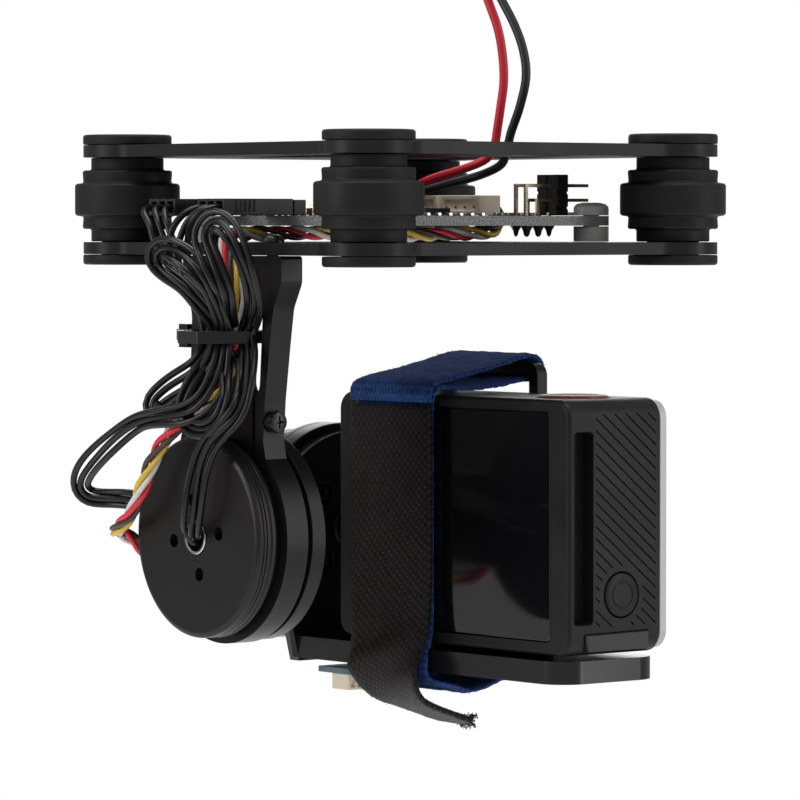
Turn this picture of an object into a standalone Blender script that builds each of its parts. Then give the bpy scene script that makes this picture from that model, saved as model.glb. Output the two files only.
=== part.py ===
"""Two-axis camera gimbal hung on rubber dampers, with a small action camera strapped in its tray.

All sizes are millimetres until a mesh is made, when MM turns them into metres.
+Y is the way the lens looks, +X is to the right of that, +Z is up.
The origin is the centre of the upper plate's top face.
"""

import math

import bmesh
import bpy
from mathutils import Vector

MM = 0.001

# Plates and dampers
PLATE_THICKNESS = 2.0
PLATE_HALF = 36.8
DAMPER_PITCH_HALF = 32.0
LOBE_RADIUS = 7.3
LOBE_FILLET = 4.0
DAMPER_HOLE = 4.5
SLOT_X = 21.5
SLOT_Y = 12.0
SLOT_LENGTH = 10.0
SLOT_WIDTH = 3.2
LOWER_TOP = -16.0
LOWER_BOTTOM = LOWER_TOP - PLATE_THICKNESS
FACE_GAP = 0.1

# Controller board
BOARD_HALF = 25.0
BOARD_TOP = -11.7
BOARD_THICKNESS = 1.6
POST_PITCH_HALF = 22.5

# Hanger arm and roll motor, whose axis runs along Y
ARM_NEAR = -36.7
ARM_FAR = -32.5
ROLL_Z = -63.15
RING_OUTER = 17.3
RING_BORE = 15.3
MOTOR_RADIUS = 16.2
SHAFT_OUTER = 2.75
SHAFT_INNER = 2.3
SHAFT_HOLE = 2.9
CAP_SCREW_CIRCLE = 6.0
CLAMP_SCREW_YZ = (-34.8, -44.5)
ROLL_DISC_RADIUS = 17.0
ROLL_DISC_NEAR = -31.4
ROLL_DISC_FAR = -28.7

# Tilt motor, whose axis runs along X
TILT_Y = 12.3
TILT_Z = -64.8
ROTOR_RADIUS = 17.7
TILT_PLATE_RADIUS = 16.3
TILT_SCREW_OFFSET = 5.65

# Camera, tray and lens frame
CAMERA_X = (-18.2, 40.8)
CAMERA_BACK = 1.8
CAMERA_SPLIT = 21.6
CAMERA_FRONT = 23.1
CAMERA_TOP = -41.1
CAMERA_BOTTOM = -82.2
TRAY_TOP = -83.0
TRAY_BOTTOM = -86.7
TRAY_FRONT = 22.9
TRAY_NEAR = 0.8
TRAY_END = 39.8
SIDE_PLATE_X = (-30.6, -28.1)
SIDE_PLATE_BOTTOM = -87.3
LENS_CENTRE = (-5.0, -57.5)
LENS_HALF = 11.0
FRAME_Y = (23.3, 25.6)
STRAP_NEAR_X = 8.7
STRAP_FAR_X = -12.1
STRAP_BACK_PULL = 1.1  # how far the near edge is drawn in down the back of the camera
STRAP_THICKNESS = 0.8
HOOK_THICKNESS = 1.2

# Leads
LEAD_RADIUS = 1.1
SENSOR_LEAD_RADIUS = 0.9
BATTERY_LEAD_RADIUS = 0.75


# ---------------------------------------------------------------- helpers


def material(name, colour, roughness, metallic=0.0):
    """Return a Principled material, making it the first time it is asked for."""
    found = bpy.data.materials.get(name)
    if found:
        return found
    made = bpy.data.materials.new(name)
    made.use_nodes = True
    made.diffuse_color = (*colour, 1.0)
    shader = made.node_tree.nodes["Principled BSDF"]
    shader.inputs["Base Color"].default_value = (*colour, 1.0)
    shader.inputs["Roughness"].default_value = roughness
    shader.inputs["Metallic"].default_value = metallic
    return made


def anodised():
    return material("anodised_black", (0.045, 0.045, 0.05), 0.42, 0.6)


def motor_grey():
    return material("motor_grey", (0.12, 0.12, 0.13), 0.35, 0.8)


def rubber():
    return material("damper_rubber", (0.03, 0.03, 0.033), 0.7)


def black_plastic():
    return material("black_plastic", (0.02, 0.02, 0.022), 0.5)


def steel():
    return material("screw_steel", (0.12, 0.12, 0.13), 0.35, 1.0)


def place(name, mesh_builder, finish):
    """Turn a bmesh in millimetres into a named object in metres."""
    bmesh.ops.scale(mesh_builder, vec=(MM, MM, MM), verts=mesh_builder.verts)
    bmesh.ops.recalc_face_normals(mesh_builder, faces=mesh_builder.faces)
    mesh = bpy.data.meshes.new(name)
    mesh_builder.to_mesh(mesh)
    mesh_builder.free()
    mesh.materials.append(finish)
    made = bpy.data.objects.new(name, mesh)
    bpy.context.scene.collection.objects.link(made)
    return made


def shade_round(made):
    """Smooth the round faces and keep the edges sharp."""
    made.data.shade_smooth()
    made.data.set_sharp_from_angle(angle=math.radians(35))
    return made


def along(axis, u, v, w):
    """Place outline point (u, v) at height w along an axis."""
    if axis == "Z":
        return (u, v, w)
    if axis == "Y":
        return (u, w, v)
    return (w, u, v)


def corner_arc(before, corner, after, radius, steps):
    """Points of the arc that rounds one corner of an outline."""
    to_before = (before - corner).normalized()
    to_after = (after - corner).normalized()
    half = to_before.angle(to_after) / 2
    reach = radius / math.tan(half)
    centre = corner + (to_before + to_after).normalized() * (radius / math.sin(half))
    start = corner + to_before * reach - centre
    end = corner + to_after * reach - centre
    turn = math.atan2(start.x * end.y - start.y * end.x, start.dot(end))
    arc = []
    for step in range(steps + 1):
        angle = turn * step / steps
        x = start.x * math.cos(angle) - start.y * math.sin(angle)
        y = start.x * math.sin(angle) + start.y * math.cos(angle)
        arc.append(centre + Vector((x, y)))
    return arc


def rounded(points, radii, steps=4):
    """Outline whose corners are arcs; a radius of 0 leaves a corner sharp."""
    if not isinstance(radii, (list, tuple)):
        radii = [radii] * len(points)
    corners = [Vector(point) for point in points]
    outline = []
    for index, corner in enumerate(corners):
        if radii[index] == 0:
            outline.append(corner)
            continue
        before = corners[index - 1]
        after = corners[(index + 1) % len(corners)]
        outline.extend(corner_arc(before, corner, after, radii[index], steps))
    return outline


def rectangle(u_low, u_high, v_low, v_high):
    return [(u_low, v_low), (u_high, v_low), (u_high, v_high), (u_low, v_high)]


def circle(u, v, radius, steps=24, start=0.0):
    points = []
    for step in range(steps):
        angle = start + 2 * math.pi * step / steps
        points.append((u + radius * math.cos(angle), v + radius * math.sin(angle)))
    return points


def stadium(u, v, length, width, steps=6):
    """Outline of a slot with round ends that runs along u."""
    radius = width / 2
    reach = length / 2 - radius
    points = []
    for side, start in ((1, -math.pi / 2), (-1, math.pi / 2)):
        for step in range(steps + 1):
            angle = start + math.pi * step / steps
            points.append((u + side * reach + radius * math.cos(angle), v + radius * math.sin(angle)))
    return points


def prism(name, outline, axis, low, high, finish):
    """Extrude an outline along an axis from low to high."""
    builder = bmesh.new()
    lower = [builder.verts.new(along(axis, u, v, low)) for u, v in outline]
    upper = [builder.verts.new(along(axis, u, v, high)) for u, v in outline]
    builder.faces.new(lower)
    builder.faces.new(upper)
    count = len(outline)
    for index in range(count):
        following = (index + 1) % count
        builder.faces.new((lower[index], lower[following], upper[following], upper[index]))
    return place(name, builder, finish)


def box(name, x, y, z, finish):
    return prism(name, rectangle(*x, *y), "Z", *z, finish)


def turned(name, profile, axis, centre, finish, segments=32):
    """Spin a closed profile of (radius, height) points; it is a solid if it meets the axis."""
    builder = bmesh.new()
    rings = []
    for radius, height in profile:
        if radius == 0:
            rings.append([builder.verts.new(along(axis, *centre, height))])
            continue
        outline = circle(*centre, radius, segments)
        rings.append([builder.verts.new(along(axis, u, v, height)) for u, v in outline])
    solid = len(rings[0]) == 1 and len(rings[-1]) == 1
    pairs = list(zip(rings, rings[1:]))
    if not solid:
        pairs.append((rings[-1], rings[0]))
    for ring, other in pairs:
        for index in range(segments):
            following = (index + 1) % segments
            if len(ring) == 1:
                builder.faces.new((ring[0], other[index], other[following]))
            elif len(other) == 1:
                builder.faces.new((ring[index], ring[following], other[0]))
            else:
                corners = (ring[index], ring[following], other[following], other[index])
                builder.faces.new(corners)
    return shade_round(place(name, builder, finish))


def combine(target, tool, operation):
    """Cut a tool out of the target, or join it on, then remove the tool."""
    change = target.modifiers.new(operation.lower(), "BOOLEAN")
    change.operation = operation
    change.solver = "EXACT"
    change.object = tool
    bpy.context.view_layer.update()
    with bpy.context.temp_override(object=target, active_object=target):
        bpy.ops.object.modifier_apply(modifier=change.name)
    bpy.data.objects.remove(tool)
    return target


def cut(target, *tools):
    for tool in tools:
        combine(target, tool, "DIFFERENCE")
    return target


def join(target, *others):
    for other in others:
        combine(target, other, "UNION")
    return target


def drill(target, axis, centre, radius, low, high, steps=16):
    """Cut a round hole along an axis."""
    return cut(target, prism("drill", circle(*centre, radius, steps), axis, low, high, steel()))


def smooth_route(points, spacing):
    """Evenly spaced points on a smooth curve through the route's own points."""
    route = [Vector(point) for point in points]
    ends = [route[0] * 2 - route[1]] + route + [route[-1] * 2 - route[-2]]
    fine = []
    steps = 16
    for index in range(1, len(ends) - 2):
        a, b, c, d = ends[index - 1 : index + 3]
        for step in range(steps):
            t = step / steps
            bend = (2 * a - 5 * b + 4 * c - d) * t**2 + (3 * b - a - 3 * c + d) * t**3
            fine.append(b + ((c - a) * t + bend) / 2)
    fine.append(route[-1])
    lengths = [0.0]
    for start, end in zip(fine, fine[1:]):
        lengths.append(lengths[-1] + (end - start).length)
    count = max(4, round(lengths[-1] / spacing))
    spaced = []
    at = 0
    for step in range(count + 1):
        wanted = lengths[-1] * step / count
        while at < len(lengths) - 2 and lengths[at + 1] < wanted:
            at += 1
        share = (wanted - lengths[at]) / (lengths[at + 1] - lengths[at])
        spaced.append(fine[at].lerp(fine[at + 1], share))
    return spaced


def tube(name, points, radius, finish):
    """A flexible lead: a bevelled poly curve with filled ends."""
    route = smooth_route(points, radius * 4.2)
    straight = radius * 0.7
    first = (route[0], Vector(points[1]) - route[0])
    last = (route[-1], Vector(points[-2]) - route[-1])
    route.insert(1, first[0] + first[1].normalized() * straight)
    route.insert(-1, last[0] + last[1].normalized() * straight)
    curve = bpy.data.curves.new(name, "CURVE")
    curve.dimensions = "3D"
    spline = curve.splines.new("POLY")
    spline.points.add(len(route) - 1)
    for point, place_mm in zip(spline.points, route):
        point.co = (*(place_mm * MM), 1.0)
    curve.bevel_depth = radius * MM
    curve.bevel_resolution = 2
    curve.use_fill_caps = True
    curve.materials.append(finish)
    made = bpy.data.objects.new(name, curve)
    bpy.context.scene.collection.objects.link(made)
    return made


def band(name, near, far, thickness, finish, spacing=2.6):
    """A strip of webbing between two edge routes of (x, y, z) points."""
    near_edge = smooth_route(near, spacing)
    far_edge = smooth_route(far, spacing)
    count = min(len(near_edge), len(far_edge))
    near_edge = evenly(near_edge, count)
    far_edge = evenly(far_edge, count)
    builder = bmesh.new()
    stations = []
    for index in range(count):
        ahead = min(index + 1, count - 1)
        behind = max(index - 1, 0)
        run = near_edge[ahead] + far_edge[ahead] - near_edge[behind] - far_edge[behind]
        across = near_edge[index] - far_edge[index]
        offset = run.cross(across).normalized() * (thickness / 2)
        corners = (
            near_edge[index] + offset,
            far_edge[index] + offset,
            far_edge[index] - offset,
            near_edge[index] - offset,
        )
        stations.append([builder.verts.new(corner) for corner in corners])
    for one, two in zip(stations, stations[1:]):
        for side in range(4):
            turn = (side + 1) % 4
            builder.faces.new((one[side], one[turn], two[turn], two[side]))
    builder.faces.new(stations[0])
    builder.faces.new(stations[-1])
    return place(name, builder, finish)


def evenly(points, count):
    """Pick count points spread evenly over a list of points."""
    picked = []
    for index in range(count):
        at = index * (len(points) - 1) / (count - 1)
        low = min(int(at), len(points) - 2)
        picked.append(points[low].lerp(points[low + 1], at - low))
    return picked


# ---------------------------------------------------------------- plates and dampers


def plate_outline():
    """Square plate with a round lobe at each damper, blended into the straight edges."""
    drop = PLATE_HALF - DAMPER_PITCH_HALF
    reach = LOBE_RADIUS + LOBE_FILLET
    rise = drop + LOBE_FILLET
    run = math.sqrt(reach**2 - rise**2)
    steps = 3
    lobe_steps = 9
    blend = math.atan2(rise, run)
    corner = []
    fillet = Vector((DAMPER_PITCH_HALF - run, PLATE_HALF + LOBE_FILLET))
    for step in range(steps + 1):
        angle = -math.pi / 2 + (math.pi / 2 - blend) * step / steps
        corner.append(fillet + LOBE_FILLET * Vector((math.cos(angle), math.sin(angle))))
    start = math.pi - blend
    end = -math.pi / 2 + blend
    middle = Vector((DAMPER_PITCH_HALF, DAMPER_PITCH_HALF))
    for step in range(1, lobe_steps):
        angle = start + (end - start) * step / lobe_steps
        corner.append(middle + LOBE_RADIUS * Vector((math.cos(angle), math.sin(angle))))
    mirrored = [Vector((point.y, point.x)) for point in reversed(corner[: steps + 1])]
    corner.extend(mirrored)
    outline = []
    for quarter in range(4):
        angle = -math.pi / 2 * quarter
        cosine = round(math.cos(angle))
        sine = round(math.sin(angle))
        for point in corner:
            x = point.x * cosine - point.y * sine
            y = point.x * sine + point.y * cosine
            outline.append((x, y))
    return outline


def corners_of(half):
    return [(-half, -half), (half, -half), (half, half), (-half, half)]


def make_upper_plate():
    plate = prism("upper_plate", plate_outline(), "Z", -PLATE_THICKNESS, 0.0, anodised())
    window_half = 14.0
    for low, high in ((9.0, 24.0), (-24.0, -9.0)):
        outline = rounded(rectangle(-window_half, window_half, low, high), 4.0)
        cut(plate, prism("window", outline, "Z", -3.0, 1.0, steel()))
    for x in (-SLOT_X, SLOT_X):
        for y in (-SLOT_Y, SLOT_Y):
            outline = stadium(x, y, SLOT_LENGTH, SLOT_WIDTH)
            cut(plate, prism("slot", outline, "Z", -3.0, 1.0, steel()))
    for x, y in corners_of(DAMPER_PITCH_HALF):
        drill(plate, "Z", (x, y), DAMPER_HOLE, -3.0, 1.0)
    return plate


def make_lower_plate():
    plate = prism("lower_plate", plate_outline(), "Z", LOWER_BOTTOM, LOWER_TOP, anodised())
    outline = rounded(rectangle(-12.0, 12.0, -18.0, 18.0), 4.0)
    cut(plate, prism("window", outline, "Z", LOWER_BOTTOM - 1, LOWER_TOP + 1, steel()))
    for x, y in corners_of(DAMPER_PITCH_HALF):
        drill(plate, "Z", (x, y), DAMPER_HOLE, LOWER_BOTTOM - 1, LOWER_TOP + 1)
    for x in HANGER_SCREW_X:
        drill(plate, "Z", (x, HANGER_SCREW_Y), 1.15, LOWER_BOTTOM - 1, LOWER_TOP + 1, 12)
    return plate


def make_damper(name, x, y):
    """Stepped rubber ball held by a neck and a flange through each plate."""
    wide = 8.7
    flange = 7.35
    neck = 6.0
    through = 4.2
    bore = 1.6
    lower_face = LOWER_BOTTOM - FACE_GAP
    profile = [
        (bore, 1.75),
        (flange - 0.45, 1.75),
        (flange, 1.4),
        (flange, FACE_GAP),
        (through, FACE_GAP),
        (through, -PLATE_THICKNESS - FACE_GAP),
        (neck, -PLATE_THICKNESS - FACE_GAP),
        (neck, -4.1),
        (flange, -4.1),
        (flange, -6.1),
        (wide, -6.3),
        (wide, -11.7),
        (flange, -11.9),
        (flange, -13.9),
        (neck, -13.9),
        (neck, LOWER_TOP + FACE_GAP),
        (through, LOWER_TOP + FACE_GAP),
        (through, lower_face),
        (flange, lower_face),
        (flange, -19.4),
        (flange - 0.45, -19.75),
        (bore, -19.75),
    ]
    return turned(name, profile, "Z", (x, y), rubber(), 16)


# ---------------------------------------------------------------- electronics


def make_board():
    outline = rounded(rectangle(-BOARD_HALF, BOARD_HALF, -BOARD_HALF, BOARD_HALF), 1.5)
    bottom = BOARD_TOP - BOARD_THICKNESS
    finish = material("board_black", (0.02, 0.03, 0.035), 0.4)
    board = prism("controller_board", outline, "Z", bottom, BOARD_TOP, finish)
    for x, y in corners_of(POST_PITCH_HALF):
        drill(board, "Z", (x, y), 1.6, bottom - 1, BOARD_TOP + 1, 12)
    return board


def make_board_parts():
    """Chips, headers, sockets and plugs that stand on the board."""
    chip = material("chip_black", (0.015, 0.015, 0.017), 0.35)
    beige = material("socket_beige", (0.72, 0.66, 0.52), 0.5)
    seat = BOARD_TOP + FACE_GAP
    box("processor_chip", (-5.0, 5.0), (-3.0, 7.0), (seat, seat + 1.2), chip)
    box("driver_chip_left", (-15.0, -8.5), (-14.0, -8.5), (seat, seat + 1.2), chip)
    box("driver_chip_right", (5.5, 12.0), (-14.0, -8.5), (seat, seat + 1.2), chip)
    box("sensor_socket", (-11.6, -1.4), (18.5, 23.2), (seat, -8.2), beige)
    box("spare_socket", (-17.6, -12.6), (18.5, 23.2), (seat, -8.2), beige)
    box("power_socket", (-20.0, -13.0), (7.2, 13.8), (seat, -6.2), black_plastic())
    box("receiver_header", (14.0, 19.1), (18.0, 20.5), (seat, -4.6), black_plastic())
    for side, (low, high) in MOTOR_PLUGS.items():
        header_x = (low + 0.2, high - 0.2)
        box(f"{side}_motor_header", header_x, (-24.3, -21.8), (seat, -9.1), black_plastic())
        box(f"{side}_motor_plug", (low, high), (PLUG_FRONT, -24.6), (seat, -8.95), black_plastic())


def make_post(name, x, y):
    """Nylon spacer whose screw head clamps the board."""
    profile = [
        (0, BOARD_TOP + 2.2),
        (2.3, BOARD_TOP + 2.2),
        (2.9, BOARD_TOP + 1.6),
        (2.9, BOARD_TOP + FACE_GAP),
        (1.3, BOARD_TOP + FACE_GAP),
        (1.3, BOARD_TOP - BOARD_THICKNESS - FACE_GAP),
        (2.9, BOARD_TOP - BOARD_THICKNESS - FACE_GAP),
        (2.9, LOWER_TOP + FACE_GAP),
        (0, LOWER_TOP + FACE_GAP),
    ]
    finish = material("nylon_white", (0.75, 0.75, 0.73), 0.4)
    return turned(name, profile, "Z", (x, y), finish, 16)


# ---------------------------------------------------------------- hanger and roll motor

HANGER_SCREW_Y = -34.6
HANGER_SCREW_X = (10.8, -4.4)
MOTOR_PLUGS = {"roll": (-17.0, -9.9), "tilt": (-3.8, 3.3)}
PLUG_FRONT = -38.6


def make_hanger():
    """Arm from the lower plate to the split ring that clamps the roll motor."""
    top = LOWER_BOTTOM - FACE_GAP
    shape = [
        (-10.3, top),
        (-10.3, -22.0),
        (-7.8, -27.3),
        (-8.1, -34.0),
        (-8.8, -40.0),
        (-12.2, -52.5),
        (12.2, -52.5),
        (11.0, -47.6),
        (11.5, -41.0),
        (12.7, -32.6),
        (13.7, -26.4),
        (15.8, -22.4),
        (15.8, top),
    ]
    radii = [0.6, 3.0, 5.0, 0, 0, 0, 0, 0, 0, 0, 4.0, 3.0, 0.6]
    arm = prism("hanger_arm", rounded(shape, radii, 3), "Y", ARM_NEAR, ARM_FAR, anodised())
    ring = circle(0.0, ROLL_Z, RING_OUTER, 40)
    join(arm, prism("ring", ring, "Y", ARM_NEAR, ARM_FAR, anodised()))
    slot = [(3.6, -40.8), (10.0, -40.8), (11.2, -23.6), (4.7, -23.6)]
    cut(arm, prism("slot", rounded(slot, 2.6, 6), "Y", ARM_NEAR - 1, ARM_FAR + 1, steel()))
    slit = rectangle(8.2, 8.9, -54.0, -40.0)
    cut(arm, prism("slit", slit, "Y", ARM_NEAR - 1, ARM_FAR + 1, steel()))
    drill(arm, "Y", (0.0, ROLL_Z), RING_BORE, ARM_NEAR - 1, ARM_FAR + 1, 40)
    for x in HANGER_SCREW_X:
        drill(arm, "Z", (x, HANGER_SCREW_Y), 1.15, -23.0, top + 1, 12)
    drill(arm, "X", CLAMP_SCREW_YZ, 1.15, 1.0, 14.0, 12)
    drill(arm, "X", CLAMP_SCREW_YZ, 1.95, 10.9, 14.0, 16)
    return arm


def make_button_screw(name, x, y):
    """Button-head screw that pulls the hanger up against the lower plate."""
    profile = [
        (0, LOWER_TOP + 1.4),
        (1.1, LOWER_TOP + 1.35),
        (1.8, LOWER_TOP + 0.9),
        (1.95, LOWER_TOP + FACE_GAP),
        (0.95, LOWER_TOP + FACE_GAP),
        (0.95, -22.5),
        (0, -22.5),
    ]
    return turned(name, profile, "Z", (x, y), steel(), 16)


def make_clamp_screw():
    profile = [
        (0, 12.9),
        (1.45, 12.9),
        (1.7, 12.6),
        (1.7, 11.0),
        (0.95, 11.0),
        (0.95, 1.6),
        (0, 1.6),
    ]
    return turned("clamp_screw", profile, "X", CLAMP_SCREW_YZ, steel(), 20)


def make_roll_motor():
    """Rear cap, housing and hollow shaft of the roll motor."""
    centre = (0.0, ROLL_Z)
    cap_profile = [
        (SHAFT_HOLE, -41.8),
        (MOTOR_RADIUS - 0.5, -41.8),
        (MOTOR_RADIUS, -41.3),
        (MOTOR_RADIUS, -39.95),
        (SHAFT_HOLE, -39.95),
    ]
    cap = turned("roll_motor_cap", cap_profile, "Y", centre, motor_grey(), 40)
    for quarter in range(4):
        angle = math.radians(8 + 90 * quarter)
        x = CAP_SCREW_CIRCLE * math.cos(angle)
        z = ROLL_Z + CAP_SCREW_CIRCLE * math.sin(angle)
        drill(cap, "Y", (x, z), 1.1, -43.0, -39.0, 10)
    housing_profile = [
        (SHAFT_HOLE, -39.75),
        (MOTOR_RADIUS, -39.75),
        (MOTOR_RADIUS, -37.9),
        (RING_BORE - 0.2, -37.7),
        (RING_BORE - 0.2, -31.9),
        (SHAFT_HOLE, -31.9),
    ]
    turned("roll_motor_housing", housing_profile, "Y", centre, motor_grey(), 40)
    shaft_profile = [
        (SHAFT_INNER, -42.1),
        (SHAFT_OUTER, -42.1),
        (SHAFT_OUTER, -28.0),
        (SHAFT_INNER, -28.0),
    ]
    silver = material("shaft_silver", (0.75, 0.75, 0.76), 0.25, 1.0)
    turned("roll_shaft", shaft_profile, "Y", centre, silver, 24)


# ---------------------------------------------------------------- roll arm and tilt motor

ARM_OUTER_X = -47.8
ARM_INNER_X = -44.9


def make_roll_arm():
    """Disc on the roll motor, bent arm beside the camera, disc behind the tilt motor."""
    plan = [
        (-2.0, ROLL_DISC_NEAR),
        (-28.0, ROLL_DISC_NEAR),
        (ARM_OUTER_X, -16.0),
        (ARM_OUTER_X, TILT_Y),
        (ARM_INNER_X, TILT_Y),
        (ARM_INNER_X, -14.6),
        (-26.9, ROLL_DISC_FAR),
        (-2.0, ROLL_DISC_FAR),
    ]
    radii = [0, 8.0, 8.0, 0, 0, 5.5, 5.5, 0]
    half_height = 8.0
    middle = (ROLL_Z + TILT_Z) / 2
    arm = prism(
        "roll_arm", rounded(plan, radii, 4), "Z", middle - half_height, middle + half_height, anodised()
    )
    disc = circle(0.0, ROLL_Z, ROLL_DISC_RADIUS, 36)
    join(arm, prism("disc", disc, "Y", ROLL_DISC_NEAR, ROLL_DISC_FAR, anodised()))
    end = circle(TILT_Y, TILT_Z, 16.0, 32)
    join(arm, prism("end", end, "X", ARM_OUTER_X, ARM_INNER_X, anodised()))
    drill(arm, "Y", (0.0, ROLL_Z), SHAFT_HOLE, ROLL_DISC_NEAR - 1, ROLL_DISC_FAR + 1, 24)
    drill(arm, "X", (TILT_Y, TILT_Z), SHAFT_HOLE, ARM_OUTER_X - 1, ARM_INNER_X + 1, 24)
    return arm


def make_tilt_motor():
    """Stator on the roll arm, rotor on the tray's side plate, hollow shaft through both."""
    centre = (TILT_Y, TILT_Z)
    stator_profile = [
        (SHAFT_HOLE, -44.7),
        (MOTOR_RADIUS, -44.7),
        (MOTOR_RADIUS, -41.0),
        (MOTOR_RADIUS - 0.9, -40.6),
        (MOTOR_RADIUS - 0.9, -36.9),
        (SHAFT_HOLE, -36.9),
    ]
    turned("tilt_motor_stator", stator_profile, "X", centre, motor_grey(), 40)
    rotor_profile = [
        (SHAFT_HOLE, -36.6),
        (ROTOR_RADIUS - 0.5, -36.6),
        (ROTOR_RADIUS, -36.1),
        (ROTOR_RADIUS, -31.4),
        (ROTOR_RADIUS - 0.5, -30.9),
        (SHAFT_HOLE, -30.9),
    ]
    turned("tilt_motor_rotor", rotor_profile, "X", centre, motor_grey(), 36)
    shaft_profile = [
        (SHAFT_INNER, -47.6),
        (SHAFT_OUTER, -47.6),
        (SHAFT_OUTER, -27.0),
        (SHAFT_INNER, -27.0),
    ]
    silver = material("shaft_silver", (0.75, 0.75, 0.76), 0.25, 1.0)
    turned("tilt_shaft", shaft_profile, "X", centre, silver, 24)
    hub_profile = [
        (SHAFT_HOLE, -30.7),
        (4.0, -30.7),
        (4.0, -27.5),
        (3.6, -27.1),
        (SHAFT_HOLE, -27.1),
    ]
    turned("tilt_hub", hub_profile, "X", centre, motor_grey(), 24)


# ---------------------------------------------------------------- tray, frame and sensor


def make_tray():
    """L-shaped tray: a floor under the camera and a round-topped side plate on the tilt motor."""
    floor_shape = rectangle(SIDE_PLATE_X[0] + 1.0, TRAY_END, TRAY_NEAR, TRAY_FRONT)
    floor_outline = rounded(floor_shape, [0, 5.0, 5.0, 0])
    tray = prism("camera_tray", floor_outline, "Z", TRAY_BOTTOM, TRAY_TOP, anodised())
    side = [(1.0, SIDE_PLATE_BOTTOM)]
    start = math.radians(195)
    end = math.radians(-15)
    steps = 28
    for step in range(steps + 1):
        angle = start + (end - start) * step / steps
        y = TILT_Y + TILT_PLATE_RADIUS * math.cos(angle)
        z = TILT_Z + TILT_PLATE_RADIUS * math.sin(angle)
        side.append((y, z))
    side.append((2 * TILT_Y - 1.0, SIDE_PLATE_BOTTOM))
    join(tray, prism("side", side, "X", *SIDE_PLATE_X, anodised()))
    low = SIDE_PLATE_X[0] - 1
    high = SIDE_PLATE_X[1] + 1
    drill(tray, "X", (TILT_Y, TILT_Z), 4.2, low, high, 24)
    for dy, dz in corners_of(TILT_SCREW_OFFSET):
        drill(tray, "X", (TILT_Y + dy, TILT_Z + dz), 1.8, low, high, 12)
    return tray


def make_lens_frame():
    """Upright plate round the lens, with a slot at its top that the strap folds through."""
    bottom = TRAY_BOTTOM
    shape = [
        (-20.0, bottom),
        (10.0, bottom),
        (10.0, -43.6),
        (8.0, -42.6),
        (8.0, -36.2),
        (-18.0, -36.2),
        (-18.0, -42.6),
        (-20.0, -43.6),
    ]
    radii = [2.0, 2.0, 0.8, 0.8, 2.2, 2.2, 0.8, 0.8]
    frame = prism("lens_frame", rounded(shape, radii), "Y", *FRAME_Y, anodised())
    cx, cz = LENS_CENTRE
    half = LENS_HALF + 1.2
    opening = rounded(rectangle(cx - half, cx + half, cz - half, cz + half), 5.0)
    slot = rounded(rectangle(-15.7, 5.8, -42.0, -38.3), 0.8, 3)
    for outline in (opening, slot):
        cut(frame, prism("opening", outline, "Y", FRAME_Y[0] - 1, FRAME_Y[1] + 1, steel()))
    return frame


def make_sensor():
    """Tilt sensor board taped under the tray, with its socket below."""
    green = material("sensor_board", (0.28, 0.36, 0.38), 0.45)
    beige = material("socket_beige", (0.72, 0.66, 0.52), 0.5)
    box("sensor_board", (-26.0, -15.0), (3.5, 16.5), (-89.1, -88.1), green)
    box("sensor_board_socket", (-23.5, -18.9), (4.5, 10.7), (-91.9, -89.2), beige)


# ---------------------------------------------------------------- camera

SHUTTER_XY = (31.3, 11.0)
SIDE_BUTTON_YZ = (13.0, -72.6)
POWER_XZ = (31.5, -62.0)


def make_camera_body():
    body_grey = material("camera_grey", (0.09, 0.09, 0.095), 0.55)
    outline = rounded(rectangle(*CAMERA_X, CAMERA_BOTTOM, CAMERA_TOP), 3.0)
    body = prism("camera_body", outline, "Y", CAMERA_BACK, CAMERA_SPLIT, body_grey)
    bezel = rounded(rectangle(-12.8, 36.3, -80.1, -43.0), 1.0, 2)
    cut(body, prism("display_recess", bezel, "Y", CAMERA_BACK - 1, CAMERA_BACK + 0.9, steel()))
    drill(body, "Z", SHUTTER_XY, 6.1, CAMERA_TOP - 2.3, CAMERA_TOP + 1, 28)
    side = CAMERA_X[1]
    drill(body, "X", SIDE_BUTTON_YZ, 3.8, side - 2.4, side + 1, 24)
    groove = rectangle(2.8, 7.0, -77.2, -46.2)
    cut(body, prism("side_groove", rounded(groove, 0.8, 2), "X", side - 2.6, side + 1, steel()))
    latch_recess = rectangle(4.5, 18.9, -81.7, -78.4)
    cut(body, prism("latch_recess", latch_recess, "X", side - 1.0, side + 1, steel()))
    drill(body, "Y", POWER_XZ, 4.9, CAMERA_SPLIT - 1.2, CAMERA_SPLIT + 1, 24)
    return body


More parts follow.
